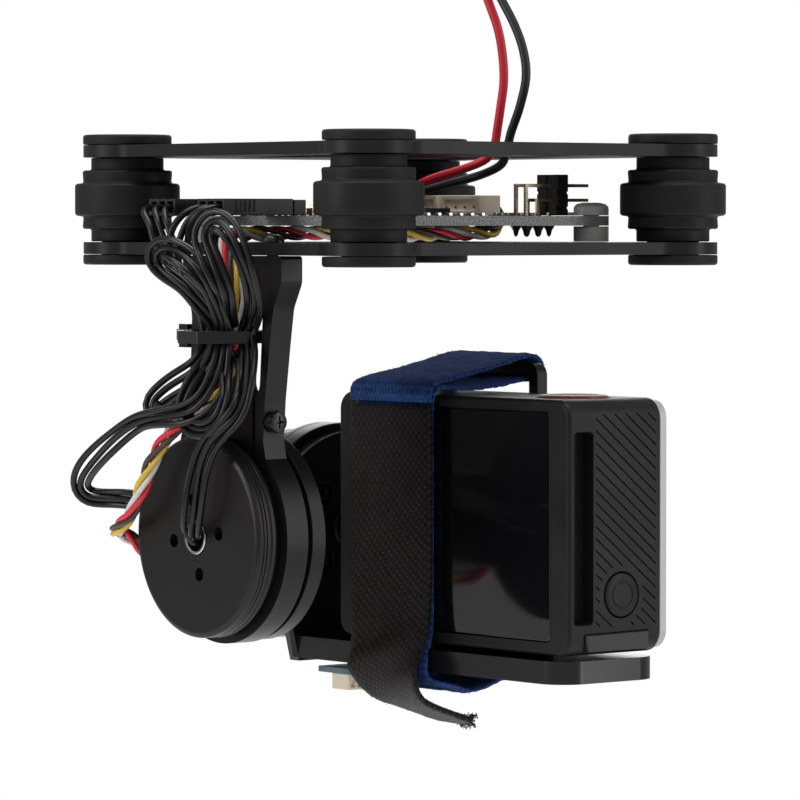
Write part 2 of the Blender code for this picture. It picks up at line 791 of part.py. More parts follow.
def make_camera_parts():
    pale = material("camera_silver", (0.62, 0.62, 0.62), 0.35, 0.3)
    glossy = material("display_gloss", (0.012, 0.012, 0.014), 0.08)
    side = CAMERA_X[1]
    shape = rectangle(CAMERA_X[0] + 0.4, side - 0.4, CAMERA_BOTTOM + 0.4, CAMERA_TOP - 0.4)
    front = prism(
        "camera_front", rounded(shape, 3.0), "Y", CAMERA_SPLIT + FACE_GAP, CAMERA_FRONT, pale
    )
    drill(front, "Y", POWER_XZ, 4.8, CAMERA_SPLIT - 1, CAMERA_FRONT + 1, 24)
    screen = rounded(rectangle(-12.6, 36.1, -79.9, -43.2), 0.9, 2)
    prism("camera_display", screen, "Y", CAMERA_BACK + 0.05, CAMERA_BACK + 0.8, glossy)
    cx, cz = LENS_CENTRE
    shell = rectangle(cx - LENS_HALF, cx + LENS_HALF, cz - LENS_HALF, cz + LENS_HALF)
    housing = prism(
        "lens_housing", rounded(shell, 4.5), "Y", CAMERA_FRONT + FACE_GAP, 29.6, black_plastic()
    )
    drill(housing, "Y", LENS_CENTRE, 8.4, 26.4, 31.0, 32)
    glass_profile = [(0, 26.6), (8.1, 26.6), (8.1, 28.6), (5.5, 29.2), (0, 29.5)]
    turned("lens_glass", glass_profile, "Y", LENS_CENTRE, glossy, 32)
    latch_x = (side - 0.9, side + 0.4)
    box("side_latch", latch_x, (4.7, 18.7), (-81.5, -78.6), black_plastic())


def make_buttons():
    """Shutter on top, settings button on the side, power button on the front."""
    red = material("shutter_red", (0.30, 0.10, 0.09), 0.45, 0.2)
    top = CAMERA_TOP + 0.5
    shutter_profile = [(0, top), (5.3, top), (5.8, top - 0.4), (5.8, top - 1.9), (0, top - 1.9)]
    turned("shutter_button", shutter_profile, "Z", SHUTTER_XY, red, 28)
    face = CAMERA_X[1] + 0.2
    side_profile = [(0, face), (3.2, face), (3.55, face - 0.3), (3.55, face - 1.7), (0, face - 1.7)]
    turned("settings_button", side_profile, "X", SIDE_BUTTON_YZ, black_plastic(), 24)
    front = CAMERA_FRONT + 0.3
    power_profile = [
        (0, front),
        (4.1, front),
        (4.5, front - 0.3),
        (4.5, front - 1.5),
        (0, front - 1.5),
    ]
    turned("power_button", power_profile, "Y", POWER_XZ, black_plastic(), 24)


# ---------------------------------------------------------------- strap


def make_strap():
    """Loop tape under, behind and over the camera, folded through the frame's slot."""
    path = [
        (21.8, -87.7, 1, 0),
        (18, -89, 1, 0),
        (10, -90.4, 0.4, 0),
        (5.4, -89.3, 0.1, 0),
        (2.4, -88.6, 0, 0),
        (0.3, -87.8, 0, 0),
        (-0.3, -86.2, 0, 0),
        (-0.1, -83.4, 0, 0),
        (0.45, -81.5, 0, 0),
        (1, -79.3, 0, 0),
        (1.05, -62, 0, 0),
        (1.05, -43.5, 0, 0),
        (0.85, -41, 0, 0),
        (1.3, -39.9, 0, 0),
        (3.8, -40.1, 0.1, 0.9),
        (8, -40.3, 0.3, 1.6),
        (16, -40, 0.7, 1.7),
        (22.5, -39.1, 1, 0.2),
        (25.6, -39, 1, 0),
        (26.8, -38.2, 1, 0),
        (26.9, -36.5, 1, 0),
        (25.5, -35.1, 1, 0),
        (22.6, -35.3, 1, 0.1),
        (16, -36.6, 0.7, 0.1),
        (9.5, -37.7, 0.3, 0.1),
        (4.2, -38.5, 0.1, 0.1),
        (0.9, -39.2, 0, 0.1),
        (-0.3, -40.4, 0, 0),
        (-0.4, -42.3, 0, 0),
    ]
    near = []
    for y, z, forward, _ in path:
        drawn_in = STRAP_BACK_PULL if y < 1.2 and z < -43 else 0.0
        near.append((STRAP_NEAR_X - 3.3 * forward - drawn_in, y, z))
    far = [(STRAP_FAR_X - 3.1 * forward, y, z + lift) for y, z, forward, lift in path]
    blue = material("strap_blue", (0.05, 0.12, 0.42), 0.9)
    band("strap_loop_tape", near, far, STRAP_THICKNESS, blue)
    hook_near = [
        (8.7, -0.2, -42.9),
        (8.8, -0.25, -60.0),
        (8.7, -0.5, -76.0),
        (8.6, -1.8, -82.5),
        (8.7, -3.6, -86.6),
        (9.0, -2.0, -91.0),
        (9.2, 4.0, -93.6),
        (9.3, 8.2, -95.0),
    ]
    hook_far = [
        (-12.1, -0.2, -42.9),
        (-12.1, -0.25, -58.0),
        (-11.9, -0.4, -70.0),
        (-11.1, -1.0, -77.5),
        (-9.4, -2.3, -83.6),
        (-8.4, -3.8, -87.0),
        (-8.6, 1.4, -91.8),
        (-9.0, 9.0, -94.2),
        (-9.4, 15.0, -96.2),
        (-9.6, 21.0, -97.4),
    ]
    dark = material("strap_black", (0.03, 0.03, 0.032), 0.9)
    band("strap_hook_tape", hook_near, hook_far, HOOK_THICKNESS, dark)


# ---------------------------------------------------------------- leads

ROLL_LEAD_ROUTE = [
    (-13.45, -38.9, -10.3),
    (-13.45, -40.2, -10.4),
    (-13.3, -41.6, -11.9),
    (-12.6, -42.2, -15.0),
    (-10.5, -42.0, -20.0),
    (-6.5, -40.6, -25.0),
    (-2.6, -38.6, -29.0),
    (-1.6, -38.0, -31.0),
    (-1.8, -38.1, -34.0),
    (-5.0, -39.2, -38.0),
    (-10.5, -40.2, -40.6),
    (-14.2, -41.2, -41.8),
    (-15.3, -42.6, -42.8),
    (-14.2, -44.0, -43.6),
    (-10.0, -43.9, -43.0),
    (-5.0, -43.2, -40.5),
    (-1.6, -41.8, -36.0),
    (-0.4, -40.3, -31.0),
    (-1.0, -40.8, -27.0),
    (-4.5, -43.2, -22.5),
    (-9.5, -45.0, -19.5),
    (-13.2, -45.8, -18.8),
    (-14.6, -47.2, -20.0),
    (-13.2, -48.2, -21.6),
    (-9.0, -47.4, -23.6),
    (-2.4, -45.0, -26.2),
    (1.5, -42.4, -28.8),
    (2.1, -41.6, -31.0),
    (2.0, -41.9, -33.4),
    (-1.6, -45.0, -38.0),
    (-7.0, -46.6, -42.5),
    (-13.0, -47.3, -45.5),
    (-19.0, -47.0, -48.0),
    (-24.3, -45.6, -51.0),
    (-26.6, -43.8, -54.5),
    (-25.2, -41.8, -57.2),
    (-21.0, -39.8, -58.3),
    (-16.2, -38.8, -58.4),
]
TILT_LEAD_ROUTE = [
    (-0.25, -38.9, -10.3),
    (-0.25, -40.2, -10.4),
    (0.1, -41.6, -11.9),
    (0.9, -41.6, -17.0),
    (1.4, -40.0, -24.0),
    (1.2, -38.4, -28.5),
    (1.1, -38.1, -31.0),
    (1.3, -38.2, -34.0),
    (2.2, -38.7, -38.6),
    (1.6, -39.4, -42.0),
    (0.3, -41.8, -45.2),
    (0.0, -43.8, -48.4),
    (0.0, -44.8, -53.0),
    (-0.2, -45.6, -58.5),
    (0.0, -44.9, -61.5),
    (0.0, -43.1, -62.9),
    (0.0, -40.5, ROLL_Z),
    (0.0, -38.0, ROLL_Z),
]
TILT_LEAD_FRONT_ROUTE = [
    (0.0, -33.0, ROLL_Z),
    (0.0, -27.4, ROLL_Z),
    (-2.4, -25.2, -63.0),
    (-9.0, -24.4, -61.5),
    (-18.0, -24.6, -60.2),
    (-27.0, -24.0, -60.0),
    (-34.0, -19.6, -60.4),
    (-40.0, -13.8, -61.6),
    (-42.4, -9.0, -62.6),
    (-42.6, -4.5, -63.0),
]
SENSOR_LEAD_ROUTE = [
    (-6.5, 23.5, -9.9),
    (-6.5, 24.8, -10.0),
    (-6.4, 26.6, -11.0),
    (-6.3, 27.0, -12.8),
    (-6.1, 25.8, -14.4),
    (-6.0, 23.0, -14.65),
    (-5.0, 12.0, -14.65),
    (-3.4, -8.0, -14.65),
    (-2.2, -28.0, -14.65),
    (-0.6, -35.0, -14.7),
    (1.0, -38.2, -15.1),
    (3.0, -40.0, -17.2),
    (4.6, -40.2, -20.5),
    (6.0, -39.4, -25.5),
    (6.3, -38.5, -28.8),
    (6.2, -38.3, -31.0),
    (6.2, -38.5, -35.0),
    (6.2, -40.2, -39.0),
    (5.0, -43.0, -42.0),
    (1.4, -45.0, -44.6),
    (-3.0, -45.8, -47.0),
    (-8.0, -46.2, -50.6),
    (-12.5, -46.2, -55.3),
    (-16.0, -45.7, -60.0),
    (-18.4, -44.6, -62.4),
]
SENSOR_LEAD_ROLL_ROUTE = [
    (-19.1, -43.6, -63.0),
    (-19.7, -40.4, -64.2),
    (-20.1, -36.6, -67.0),
    (-20.6, -34.0, -71.0),
    (-21.8, -32.6, -74.0),
    (-24.6, -29.4, -74.8),
    (-30.6, -25.2, -74.4),
    (-38.4, -19.4, -74.0),
    (-44.0, -14.4, -73.7),
    (-46.2, -11.2, -73.6),
    (-46.3, -8.3, -73.6),
]
SENSOR_LEAD_TILT_ROUTE = [
    (-46.3, -3.65, -73.6),
    (-46.3, -2.2, -74.2),
    (-46.3, 0.4, -77.6),
    (-46.2, 4, -81.4),
    (-45.4, 9, -83.6),
    (-43, 16, -84.4),
    (-39, 22, -85),
    (-33.5, 26.4, -86.2),
    (-28, 26.6, -88),
    (-24.2, 23, -89.6),
    (-21.8, 17.6, -90.6),
    (-21.2, 14, -90.7),
    (-21.2, 11.4, -90.7),
]
BATTERY_RED_ROUTE = [
    (-12.6, 9.2, -8.2),
    (-11.6, 9.3, -8.15),
    (-9.6, 10.2, -7.3),
    (-6.5, 12, -5.6),
    (-1, 14.5, -3.9),
    (2.8, 16.3, -2.3),
    (4.5, 16.8, -0.2),
    (5.4, 16.8, 3),
    (6.2, 16.8, 6.5),
    (6.86, 16.9, 10.6),
    (6.9, 16.6, 15),
    (6.35, 16, 19.5),
    (4.6, 15.2, 24.5),
    (2.8, 14.7, 29.5),
    (2, 14.5, 34),
]
BATTERY_BLACK_ROUTE = [
    (-12.6, 11.8, -8.2),
    (-11.6, 11.9, -8.15),
    (-9.3, 13.1, -7.4),
    (-5.5, 15.2, -6.3),
    (0, 17.4, -4.9),
    (5, 17.8, -3.2),
    (7.4, 17.1, -1),
    (8.8, 16.8, 2),
    (11, 16.9, 6.4),
    (12.32, 17.1, 11.2),
    (11.86, 16.9, 15.6),
    (10.1, 16.4, 20),
    (7.3, 15.6, 24.8),
    (5.1, 14.9, 29.5),
    (4.4, 14.5, 34),
]


def make_leads():
    lead_black = material("lead_black", (0.03, 0.03, 0.032), 0.45)
    lead_red = material("lead_red", (0.62, 0.05, 0.06), 0.4)
    tube("roll_motor_lead", ROLL_LEAD_ROUTE, LEAD_RADIUS, lead_black)
    tube("tilt_motor_lead", TILT_LEAD_ROUTE, LEAD_RADIUS, lead_black)
    tube("tilt_lead_front", TILT_LEAD_FRONT_ROUTE, LEAD_RADIUS, lead_black)
    tube("sensor_lead_upper", SENSOR_LEAD_ROUTE, SENSOR_LEAD_RADIUS, lead_red)
    tube("sensor_lead_roll", SENSOR_LEAD_ROLL_ROUTE, SENSOR_LEAD_RADIUS, lead_red)
    tube("sensor_lead_tilt", SENSOR_LEAD_TILT_ROUTE, SENSOR_LEAD_RADIUS, lead_red)
    tube("battery_lead_red", BATTERY_RED_ROUTE, BATTERY_LEAD_RADIUS, lead_red)
    tube("battery_lead_black", BATTERY_BLACK_ROUTE, BATTERY_LEAD_RADIUS, lead_black)
    box("battery_plug", (-0.8, 7.2), (12.2, 16.8), (34.3, 43.5), lead_red)
    box("lead_clip", (-47.6, -45.1), (-8.0, -4.0), (-75.2, -72.1), black_plastic())


def make_zip_tie():
    """Band round the leads and the hanger's wide leg, with its head on the left."""
    inner = [
        (-8.8, -32.0),
        (-8.8, -36.6),
        (-8.2, -37.1),
        (-4.0, -37.4),
        (-3.4, -40.6),
        (-1.9, -42.8),
        (0.8, -44.8),
        (4.4, -44.2),
        (7.4, -41.4),
        (8.4, -38.4),
        (8.8, -35.5),
        (8.6, -32.0),
    ]
    outer = [
        (-9.8, -31.0),
        (-9.8, -37.0),
        (-8.7, -38.0),
        (-4.7, -38.3),
        (-4.3, -40.9),
        (-2.6, -43.5),
        (0.7, -45.9),
        (4.9, -45.1),
        (8.2, -42.0),
        (9.3, -38.7),
        (9.8, -35.5),
        (9.4, -31.0),
    ]
    low = -32.0
    high = -30.0
    finish = black_plastic()
    tie = prism("zip_tie", rounded(outer, 0.5, 2), "Z", low, high, finish)
    cut(tie, prism("inside", rounded(inner, 0.4, 2), "Z", low - 1, high + 1, finish))
    join(tie, box("head", (-11.3, -9.0), (-36.8, -33.6), (-33.0, -29.2), finish))
    join(tie, box("tail", (-13.0, -10.9), (-36.0, -35.0), (low + 0.1, high - 0.1), finish))
    return tie


# ---------------------------------------------------------------- assembly

LOWER_PIECES = (
    "lower_plate controller_board processor_chip driver_chip_left driver_chip_right sensor_socket "
    "spare_socket power_socket receiver_header roll_motor_header tilt_motor_header roll_motor_plug "
    "tilt_motor_plug board_post_rear_left board_post_rear_right board_post_front_right "
    "board_post_front_left hanger_arm hanger_screw_right hanger_screw_left clamp_screw "
    "roll_motor_cap roll_motor_housing roll_motor_lead tilt_motor_lead sensor_lead_upper zip_tie "
    "battery_lead_red battery_lead_black battery_plug"
).split()
ROLL_PIECES = (
    "roll_shaft roll_arm tilt_motor_stator tilt_lead_front sensor_lead_roll lead_clip"
).split()
TILT_PIECES = (
    "tilt_motor_rotor tilt_shaft tilt_hub camera_tray lens_frame sensor_board sensor_board_socket "
    "sensor_lead_tilt camera_body camera_front camera_display lens_housing lens_glass side_latch "
    "strap_loop_tape strap_hook_tape shutter_button settings_button power_button"
).split()
QUARTERS = ("rear_left", "rear_right", "front_right", "front_left")


def hang(names, pivot):
    """Parent pieces to an empty on their joint's axis without moving them."""
    for name in names:
        piece = bpy.data.objects[name]
        piece.parent = pivot
        piece.matrix_parent_inverse = pivot.matrix_world.inverted()


def pivot(name, x, y, z):
    empty = bpy.data.objects.new(name, None)
    empty.location = Vector((x, y, z)) * MM
    bpy.context.scene.collection.objects.link(empty)
    bpy.context.view_layer.update()
    return empty


def main():
    for old in list(bpy.data.objects):
        bpy.data.objects.remove(old)
    make_upper_plate()
    make_lower_plate()
    for name, (x, y) in zip(QUARTERS, corners_of(DAMPER_PITCH_HALF)):
        make_damper(f"damper_{name}", x, y)
    make_board()
    make_board_parts()
    for name, (x, y) in zip(QUARTERS, corners_of(POST_PITCH_HALF)):
        make_post(f"board_post_{name}", x, y)
    make_hanger()
    for side, x in zip(("right", "left"), HANGER_SCREW_X):
        make_button_screw(f"hanger_screw_{side}", x, HANGER_SCREW_Y)
    make_clamp_screw()
    make_roll_motor()
    make_roll_arm()
    make_tilt_motor()
    make_tray()
    make_lens_frame()
    make_sensor()
    make_camera_body()
    make_camera_parts()
    make_buttons()
    make_strap()
    make_leads()
    make_zip_tie()

    damper_slide = pivot("damper_slide_pivot", 0.0, 0.0, LOWER_TOP)
    roll_axis = pivot("roll_axis_pivot", 0.0, ROLL_DISC_NEAR, ROLL_Z)
    tilt_axis = pivot("tilt_axis_pivot", SIDE_PLATE_X[0], TILT_Y, TILT_Z)
    hang(LOWER_PIECES, damper_slide)
    hang(ROLL_PIECES, roll_axis)
    hang(TILT_PIECES, tilt_axis)


main()
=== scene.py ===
"""Looks of the damped camera gimbal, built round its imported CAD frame.

Sizes and places are millimetres in the frame's own axes until a mesh is made, when MM
turns them into metres. +Y is the way the lens looks, +X is to its right, +Z is up.
"""

import bisect
import math

import bmesh
import bpy
from mathutils import Matrix, Quaternion, Vector


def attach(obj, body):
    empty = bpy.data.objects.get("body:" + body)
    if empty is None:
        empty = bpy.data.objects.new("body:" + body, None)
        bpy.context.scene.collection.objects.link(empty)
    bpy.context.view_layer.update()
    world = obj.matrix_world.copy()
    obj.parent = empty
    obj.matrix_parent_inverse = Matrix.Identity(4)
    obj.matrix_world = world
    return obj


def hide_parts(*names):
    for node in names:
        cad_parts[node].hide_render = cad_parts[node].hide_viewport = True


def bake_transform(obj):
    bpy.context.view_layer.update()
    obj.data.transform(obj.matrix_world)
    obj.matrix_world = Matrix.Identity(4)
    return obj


MM = 0.001
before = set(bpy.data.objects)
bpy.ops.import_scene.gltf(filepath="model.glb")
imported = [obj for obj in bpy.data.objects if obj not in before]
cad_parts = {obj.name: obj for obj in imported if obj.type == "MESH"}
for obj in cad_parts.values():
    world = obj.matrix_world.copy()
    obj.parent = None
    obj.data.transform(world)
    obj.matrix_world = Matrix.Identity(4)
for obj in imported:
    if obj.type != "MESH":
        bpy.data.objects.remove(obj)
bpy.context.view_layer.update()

UPPER = "upper_frame"
LOWER = "lower_frame"
ROLL = "roll_frame"
TILT = "tilt_frame"

# ---- driving sizes

QUARTERS = ("rear_left", "rear_right", "front_right", "front_left")

# Plates, dampers and controller board
PLATE_THICKNESS = 2
PLATE_HALF = 36.8
LOBE_RADIUS = 7.3
LOBE_FILLET = 4
LOWER_TOP = -16
LOWER_BOTTOM = -18
SLOT_X = 21.5
SLOT_Y = 12
SLOT_SIZE = (10, 3.2)
DAMPER_HALF = 32
DAMPER_HOLE = 4.5
BOARD_HALF = 25
BOARD_TOP = -11.7
BOARD_BOTTOM = -13.3
SEAT = BOARD_TOP + 0.1
POST_HALF = 22.5
MOTOR_PLUGS = {"roll": (-17, -9.9), "tilt": (-3.8, 3.3)}
PLUG_FRONT = -38.6
PLUG_PITCH = 2.2

# Hanger arm, roll motor, roll arm and tilt motor
ARM_NEAR = -36.7
ARM_FAR = -32.5
ROLL_Z = -63.15
RING_RADIUS = 17.3
RING_BORE = 15.3
PILOT_RADIUS = 1.15
HANGER_SCREW_X = (10.8, -4.4)
HANGER_SCREW_Y = -34.6
CLAMP_SCREW_YZ = (-34.8, -44.5)
MOTOR_RADIUS = 16.2
ROTOR_RADIUS = 17.7
SHAFT_HOLE = 2.9
SHAFT_RADIUS = 2.75
SHAFT_BORE = 2.3
ARM_OUTER_X = -47.8
ARM_INNER_X = -44.9
DISC_Y = (-31.4, -28.7)
DISC_RADIUS = 17
SCREW_RING = 9.5
TILT_Y = 12.3
TILT_Z = -64.8

# Tray, lens frame and action camera
TRAY_TOP = -83
TRAY_BOTTOM = -86.7
TRAY_Y = (0.8, 22.9)
TRAY_END = 39.8
SIDE_PLATE_X = (-30.6, -28.1)
SIDE_PLATE_BOTTOM = -87.3
SIDE_PLATE_RADIUS = 16.3
ROTOR_SCREW_OFFSET = 5.65
LENS_FRAME_Y = (23.3, 25.6)
LENS_CENTRE = (-5, -57.5)
LENS_HALF = 11
CAMERA_X = (-18.2, 40.8)
CAMERA_BACK = 1.8
CAMERA_SPLIT = 21.6
CAMERA_FRONT = 23.1
CAMERA_TOP = -41.1
CAMERA_BOTTOM = -82.2
SHUTTER_XY = (31.3, 11)
SIDE_BUTTON_YZ = (13, -72.6)
POWER_XZ = (31.5, -62)

# Strap
STRAP_WIDTH = 20.8
LOOP_THICKNESS = 0.8
HOOK_THICKNESS = 1.15
FIBRE_RADIUS = 0.035
STRAP_NEAR_X = 8.7
STRAP_FAR_X = -12.1
STRAP_NEAR_SHIFT = 3.3
STRAP_FAR_SHIFT = 3.1
STRAP_BACK_PULL = 1.1  # how far the near edge is drawn in down the back of the camera

# Leads
BATTERY_LEAD_RADIUS = 0.75
WIRE_RADIUS = 0.56
WIRE_PITCH = 1.04
SENSOR_TWIST = 15
FAN_LENGTH = 7
LOOSE_SPREAD = 0.5  # how far loose wires drift apart, and out of the ribbon's plane
LOOSE_LIFT = 0.35
LOOSE_REACH = 7  # they lie tight this close to the tie and to the motor
TIE_Z = -31
LENSWARD = (0.45, -0.89, 0)
WIRE_COLOURS = {
    "red": (0.72, 0.02, 0.045),
    "black": (0.02, 0.02, 0.021),
    "white": (0.75, 0.72, 0.68),
    "yellow": (0.75, 0.5, 0.06),
    "brown": (0.05, 0.03, 0.025),
}

# Routes are (x, y, z) points along each lead or tape edge
ROLL_RIBBON = [
    (-13.45, -38, -10.3), (-13.4, -40, -10.35), (-10.8, -41.5, -12.2), (-8.9, -41.5, -15.8),
    (-6.4, -41, -18.9), (-3.8, -40, -22.4), (-1.9, -39, -25.8), (-0.9, -38.6, -29.3),
    (-0.8, -38.5, -30.9), (-0.6, -38.8, -32.8), (-1.2, -39.5, -35), (-3.4, -40.5, -37.1),
    (-8.3, -41.5, -39.6), (-11.2, -42.5, -42.2), (-7.9, -43, -44), (-3.9, -42.3, -42.2),
    (-0.6, -41.4, -39.4), (2.8, -40.6, -35.4), (4.1, -40.2, -32.3), (4.2, -40.2, -30.8),
    (3.8, -40.6, -28.8), (2.1, -42, -26.1), (-1.1, -43.5, -22.7), (-4.2, -44.6, -20.8),
    (-6, -45.6, -18.5), (-2.4, -46.4, -16.7), (2.3, -46, -18), (5.8, -44.8, -20.9),
    (6.4, -43, -24.5), (6.2, -41.2, -28.8), (6, -40.6, -30.7), (6.3, -41, -32.6),
    (6.6, -42.2, -36.8), (5.9, -44, -40.7), (3.1, -45.6, -43), (-2, -46.6, -43.8),
    (-8.4, -47.2, -44.9), (-15.4, -47.4, -48.3), (-22.4, -47, -52.5), (-26.1, -46, -55.6),
    (-26.2, -44.5, -57.6), (-24.5, -42.8, -57.9), (-20.2, -41, -57.9), (-16.2, -38.8, -58.4),
]
TILT_RIBBON = [
    (-0.25, -38, -10.3), (-0.25, -40, -10.35), (-2.2, -42.2, -12.6), (-3.2, -43, -17.3),
    (-1.1, -43, -21.9), (1.6, -41.2, -25), (1.5, -38.9, -28.8), (1.2, -38.5, -30.8),
    (1.6, -38.9, -33.1), (1.6, -41.4, -36.6), (1, -43.8, -40.1), (0.6, -44.6, -42.9),
    (3, -45, -45.3), (6.9, -45, -45.6), (10.2, -44.6, -43.8), (10.8, -43.4, -40.5),
    (8.4, -41.2, -36.7), (5.2, -39, -32.9), (4.6, -38.5, -30.6), (6.2, -39.5, -28.3),
    (10.4, -43.8, -24.1), (9.4, -45.6, -19.1), (6.9, -45.6, -14.9), (8.6, -45, -12.4),
    (11.6, -44.4, -13.4), (14.1, -43.8, -16.8), (14.6, -42.2, -21.4), (12.8, -39.8, -25.6),
    (9.4, -37.9, -28.6), (8, -37.9, -30.6), (9.4, -38.4, -32.8), (12.2, -41, -38.5),
    (13, -43.2, -42.7), (10.7, -44.6, -45.5), (7.8, -45, -47.9), (6, -45.4, -51.4),
    (4.8, -45.6, -56), (3.6, -45.2, -59.6), (1.9, -44.2, -62), (0.4, -42.6, -63.1),
    (0, -40.5, -63.15), (0, -38, -63.15),
]
TILT_FRONT_RIBBON = [
    (0, -33, ROLL_Z), (0, -27.4, ROLL_Z), (-2.4, -25.2, -63), (-9, -24.4, -61.5),
    (-18, -24.6, -60.2), (-27, -24, -60), (-34, -19.6, -60.4), (-40, -13.8, -61.6),
    (-42.4, -9, -62.6), (-42.6, -4.5, -63),
]
SENSOR_ROUTE = [
    (-6.5, 23.5, -9.9), (-6.5, 24.8, -10), (-6.4, 26.6, -11), (-6.3, 27, -12.8),
    (-6.1, 25.8, -14.4), (-6, 23, -14.65), (-5, 12, -14.65), (-3.4, -8, -14.65),
    (-1.4, -28, -14.65), (1.6, -35.4, -14.6), (2.8, -38, -15.6), (5.8, -39, -20.7),
    (7, -38.6, -24.9), (6.6, -38.3, -28.6), (6.5, -38.2, -30.7), (6.2, -38.4, -33.2),
    (5, -38.9, -35.8), (2.8, -40.6, -40.8), (-0.1, -44.4, -44.7), (-3.4, -45.6, -47.9),
    (-6.7, -46, -52.3), (-9.7, -46, -56.7), (-12.8, -45.6, -60), (-16.2, -45, -61.7),
    (-18.8, -44.2, -62.9),
]
SENSOR_ROLL_ROUTE = [
    (-19.1, -43.6, -63), (-19.7, -40.4, -64.2), (-20.1, -36.6, -67), (-20.6, -34, -71),
    (-21.8, -32.6, -74), (-24.6, -29.4, -74.8), (-30.6, -25.2, -74.4), (-38.4, -19.4, -74),
    (-44, -14.4, -73.7), (-46.2, -11.2, -73.6), (-46.3, -8.3, -73.6),
]
SENSOR_TILT_ROUTE = [
    (-46.3, -3.65, -73.6), (-46.3, -2.2, -74.2), (-46.3, 0.4, -77.6), (-46.2, 4, -81.4),
    (-45.4, 9, -83.6), (-43, 16, -84.4), (-39, 22, -85), (-33.5, 26.4, -86.2), (-28, 26.6, -88),
    (-24.2, 23, -89.6), (-21.8, 17.6, -90.6), (-21.2, 14, -90.7), (-21.2, 11.4, -90.7),
]
BATTERY_RED_ROUTE = [
    (-12.6, 9.2, -8.2), (-11.6, 9.3, -8.15), (-9.6, 10.2, -7.3), (-6.5, 12, -5.6), (-1, 14.5, -3.9),
    (2.8, 16.3, -2.3), (4.5, 16.8, -0.2), (5.4, 16.8, 3), (6.2, 16.8, 6.5), (6.86, 16.9, 10.6),
    (6.9, 16.6, 15), (6.35, 16, 19.5), (4.6, 15.2, 24.5), (2.8, 14.7, 29.5), (2, 14.5, 34),
]
BATTERY_BLACK_ROUTE = [
    (-12.6, 11.8, -8.2), (-11.6, 11.9, -8.15), (-9.3, 13.1, -7.4), (-5.5, 15.2, -6.3),
    (0, 17.4, -4.9), (5, 17.8, -3.2), (7.4, 17.1, -1), (8.8, 16.8, 2), (11, 16.9, 6.4),
    (12.32, 17.1, 11.2), (11.86, 16.9, 15.6), (10.1, 16.4, 20), (7.3, 15.6, 24.8),
    (5.1, 14.9, 29.5), (4.4, 14.5, 34),
]
# Each strap point is (y, z, share of the shift towards the slot, lift of the far edge)
STRAP_PATH = [
    (21.8, -87.7, 1, 0), (18, -89, 1, 0), (10, -90.4, 0.4, 0), (5.4, -89.3, 0.1, 0),
    (2.4, -88.6, 0, 0), (0.3, -87.8, 0, 0), (-0.3, -86.2, 0, 0), (-0.1, -83.4, 0, 0),
    (0.45, -81.5, 0, 0), (1, -79.3, 0, 0), (1.05, -62, 0, 0), (1.05, -43.5, 0, 0),
    (0.85, -41, 0, 0), (1.3, -39.9, 0, 0), (3.8, -40.1, 0.1, 0.9), (8, -40.3, 0.3, 1.6),
    (16, -40, 0.7, 1.7), (22.5, -39.1, 1, 0.2), (25.6, -39, 1, 0), (26.8, -38.2, 1, 0),
    (26.9, -36.5, 1, 0), (25.5, -35.1, 1, 0), (22.6, -35.3, 1, 0.1), (16, -36.6, 0.7, 0.1),
    (9.5, -37.7, 0.3, 0.1), (4.2, -38.5, 0.1, 0.1), (0.9, -39.2, 0, 0.1), (-0.3, -40.4, 0, 0),
    (-0.4, -42.3, 0, 0),
]
HOOK_NEAR = [
    (8.7, -0.2, -42.9), (8.8, -0.25, -60), (8.7, -0.5, -76), (8.6, -1.8, -82.5),
    (8.7, -3.6, -86.6), (9, -2, -91), (9.2, 4, -93.6), (9.3, 8.2, -95),
]
HOOK_FAR = [
    (-12.1, -0.2, -42.9), (-12.1, -0.25, -58), (-11.9, -0.4, -70), (-11.1, -1, -77.5),
    (-9.4, -2.3, -83.6), (-8.4, -3.8, -87), (-8.6, 1.4, -91.8), (-9, 9, -94.2),
    (-9.4, 15, -96.2), (-9.6, 21, -97.4),
]
TIE_INNER = [
    (-8.8, -32), (-8.8, -36.6), (-8.2, -37.1), (-4, -37.4), (-3.4, -40.6), (-1.9, -42.8),
    (0.8, -44.8), (4.4, -44.2), (7.4, -41.4), (8.4, -38.4), (8.8, -35.5), (8.6, -32),
]
TIE_OUTER = [
    (-9.8, -31), (-9.8, -37), (-8.7, -38), (-4.7, -38.3), (-4.3, -40.9), (-2.6, -43.5),
    (0.7, -45.9), (4.9, -45.1), (8.2, -42), (9.3, -38.7), (9.8, -35.5), (9.4, -31),
]


# ---- camera, light, stage

EYE = Vector((633.2, -514.3, -12.9)) * MM
YAW = math.radians(50.90)
PITCH = math.radians(-2.05)
LENS = 222.2
FILL = 0.36


def added(name, data):
    """Put a new object that holds the data into the scene."""
    made = bpy.data.objects.new(name, data)
    bpy.context.scene.collection.objects.link(made)
    return made


def aim(made, direction, axis="-Z"):
    made.rotation_mode = "QUATERNION"
    made.rotation_quaternion = direction.to_track_quat(axis, "Y")


def make_camera():
    data = bpy.data.cameras.new("camera")
    data.lens = LENS
    data.sensor_width = 36
    data.clip_end = 20
    camera = added("camera", data)
    camera.location = EYE
    aim(camera, Vector((-math.sin(YAW), math.cos(YAW), math.tan(PITCH))))
    bpy.context.scene.camera = camera


def softbox(name, place, size, watts):
    """Area light that looks at the middle of the gimbal."""
    data = bpy.data.lights.new(name, "AREA")
    data.shape = "RECTANGLE"
    data.size, data.size_y = size
    data.energy = watts
    light = added(name, data)
    light.location = place
    light.visible_camera = False
    aim(light, Vector((0, 0, -0.045)) - Vector(place))


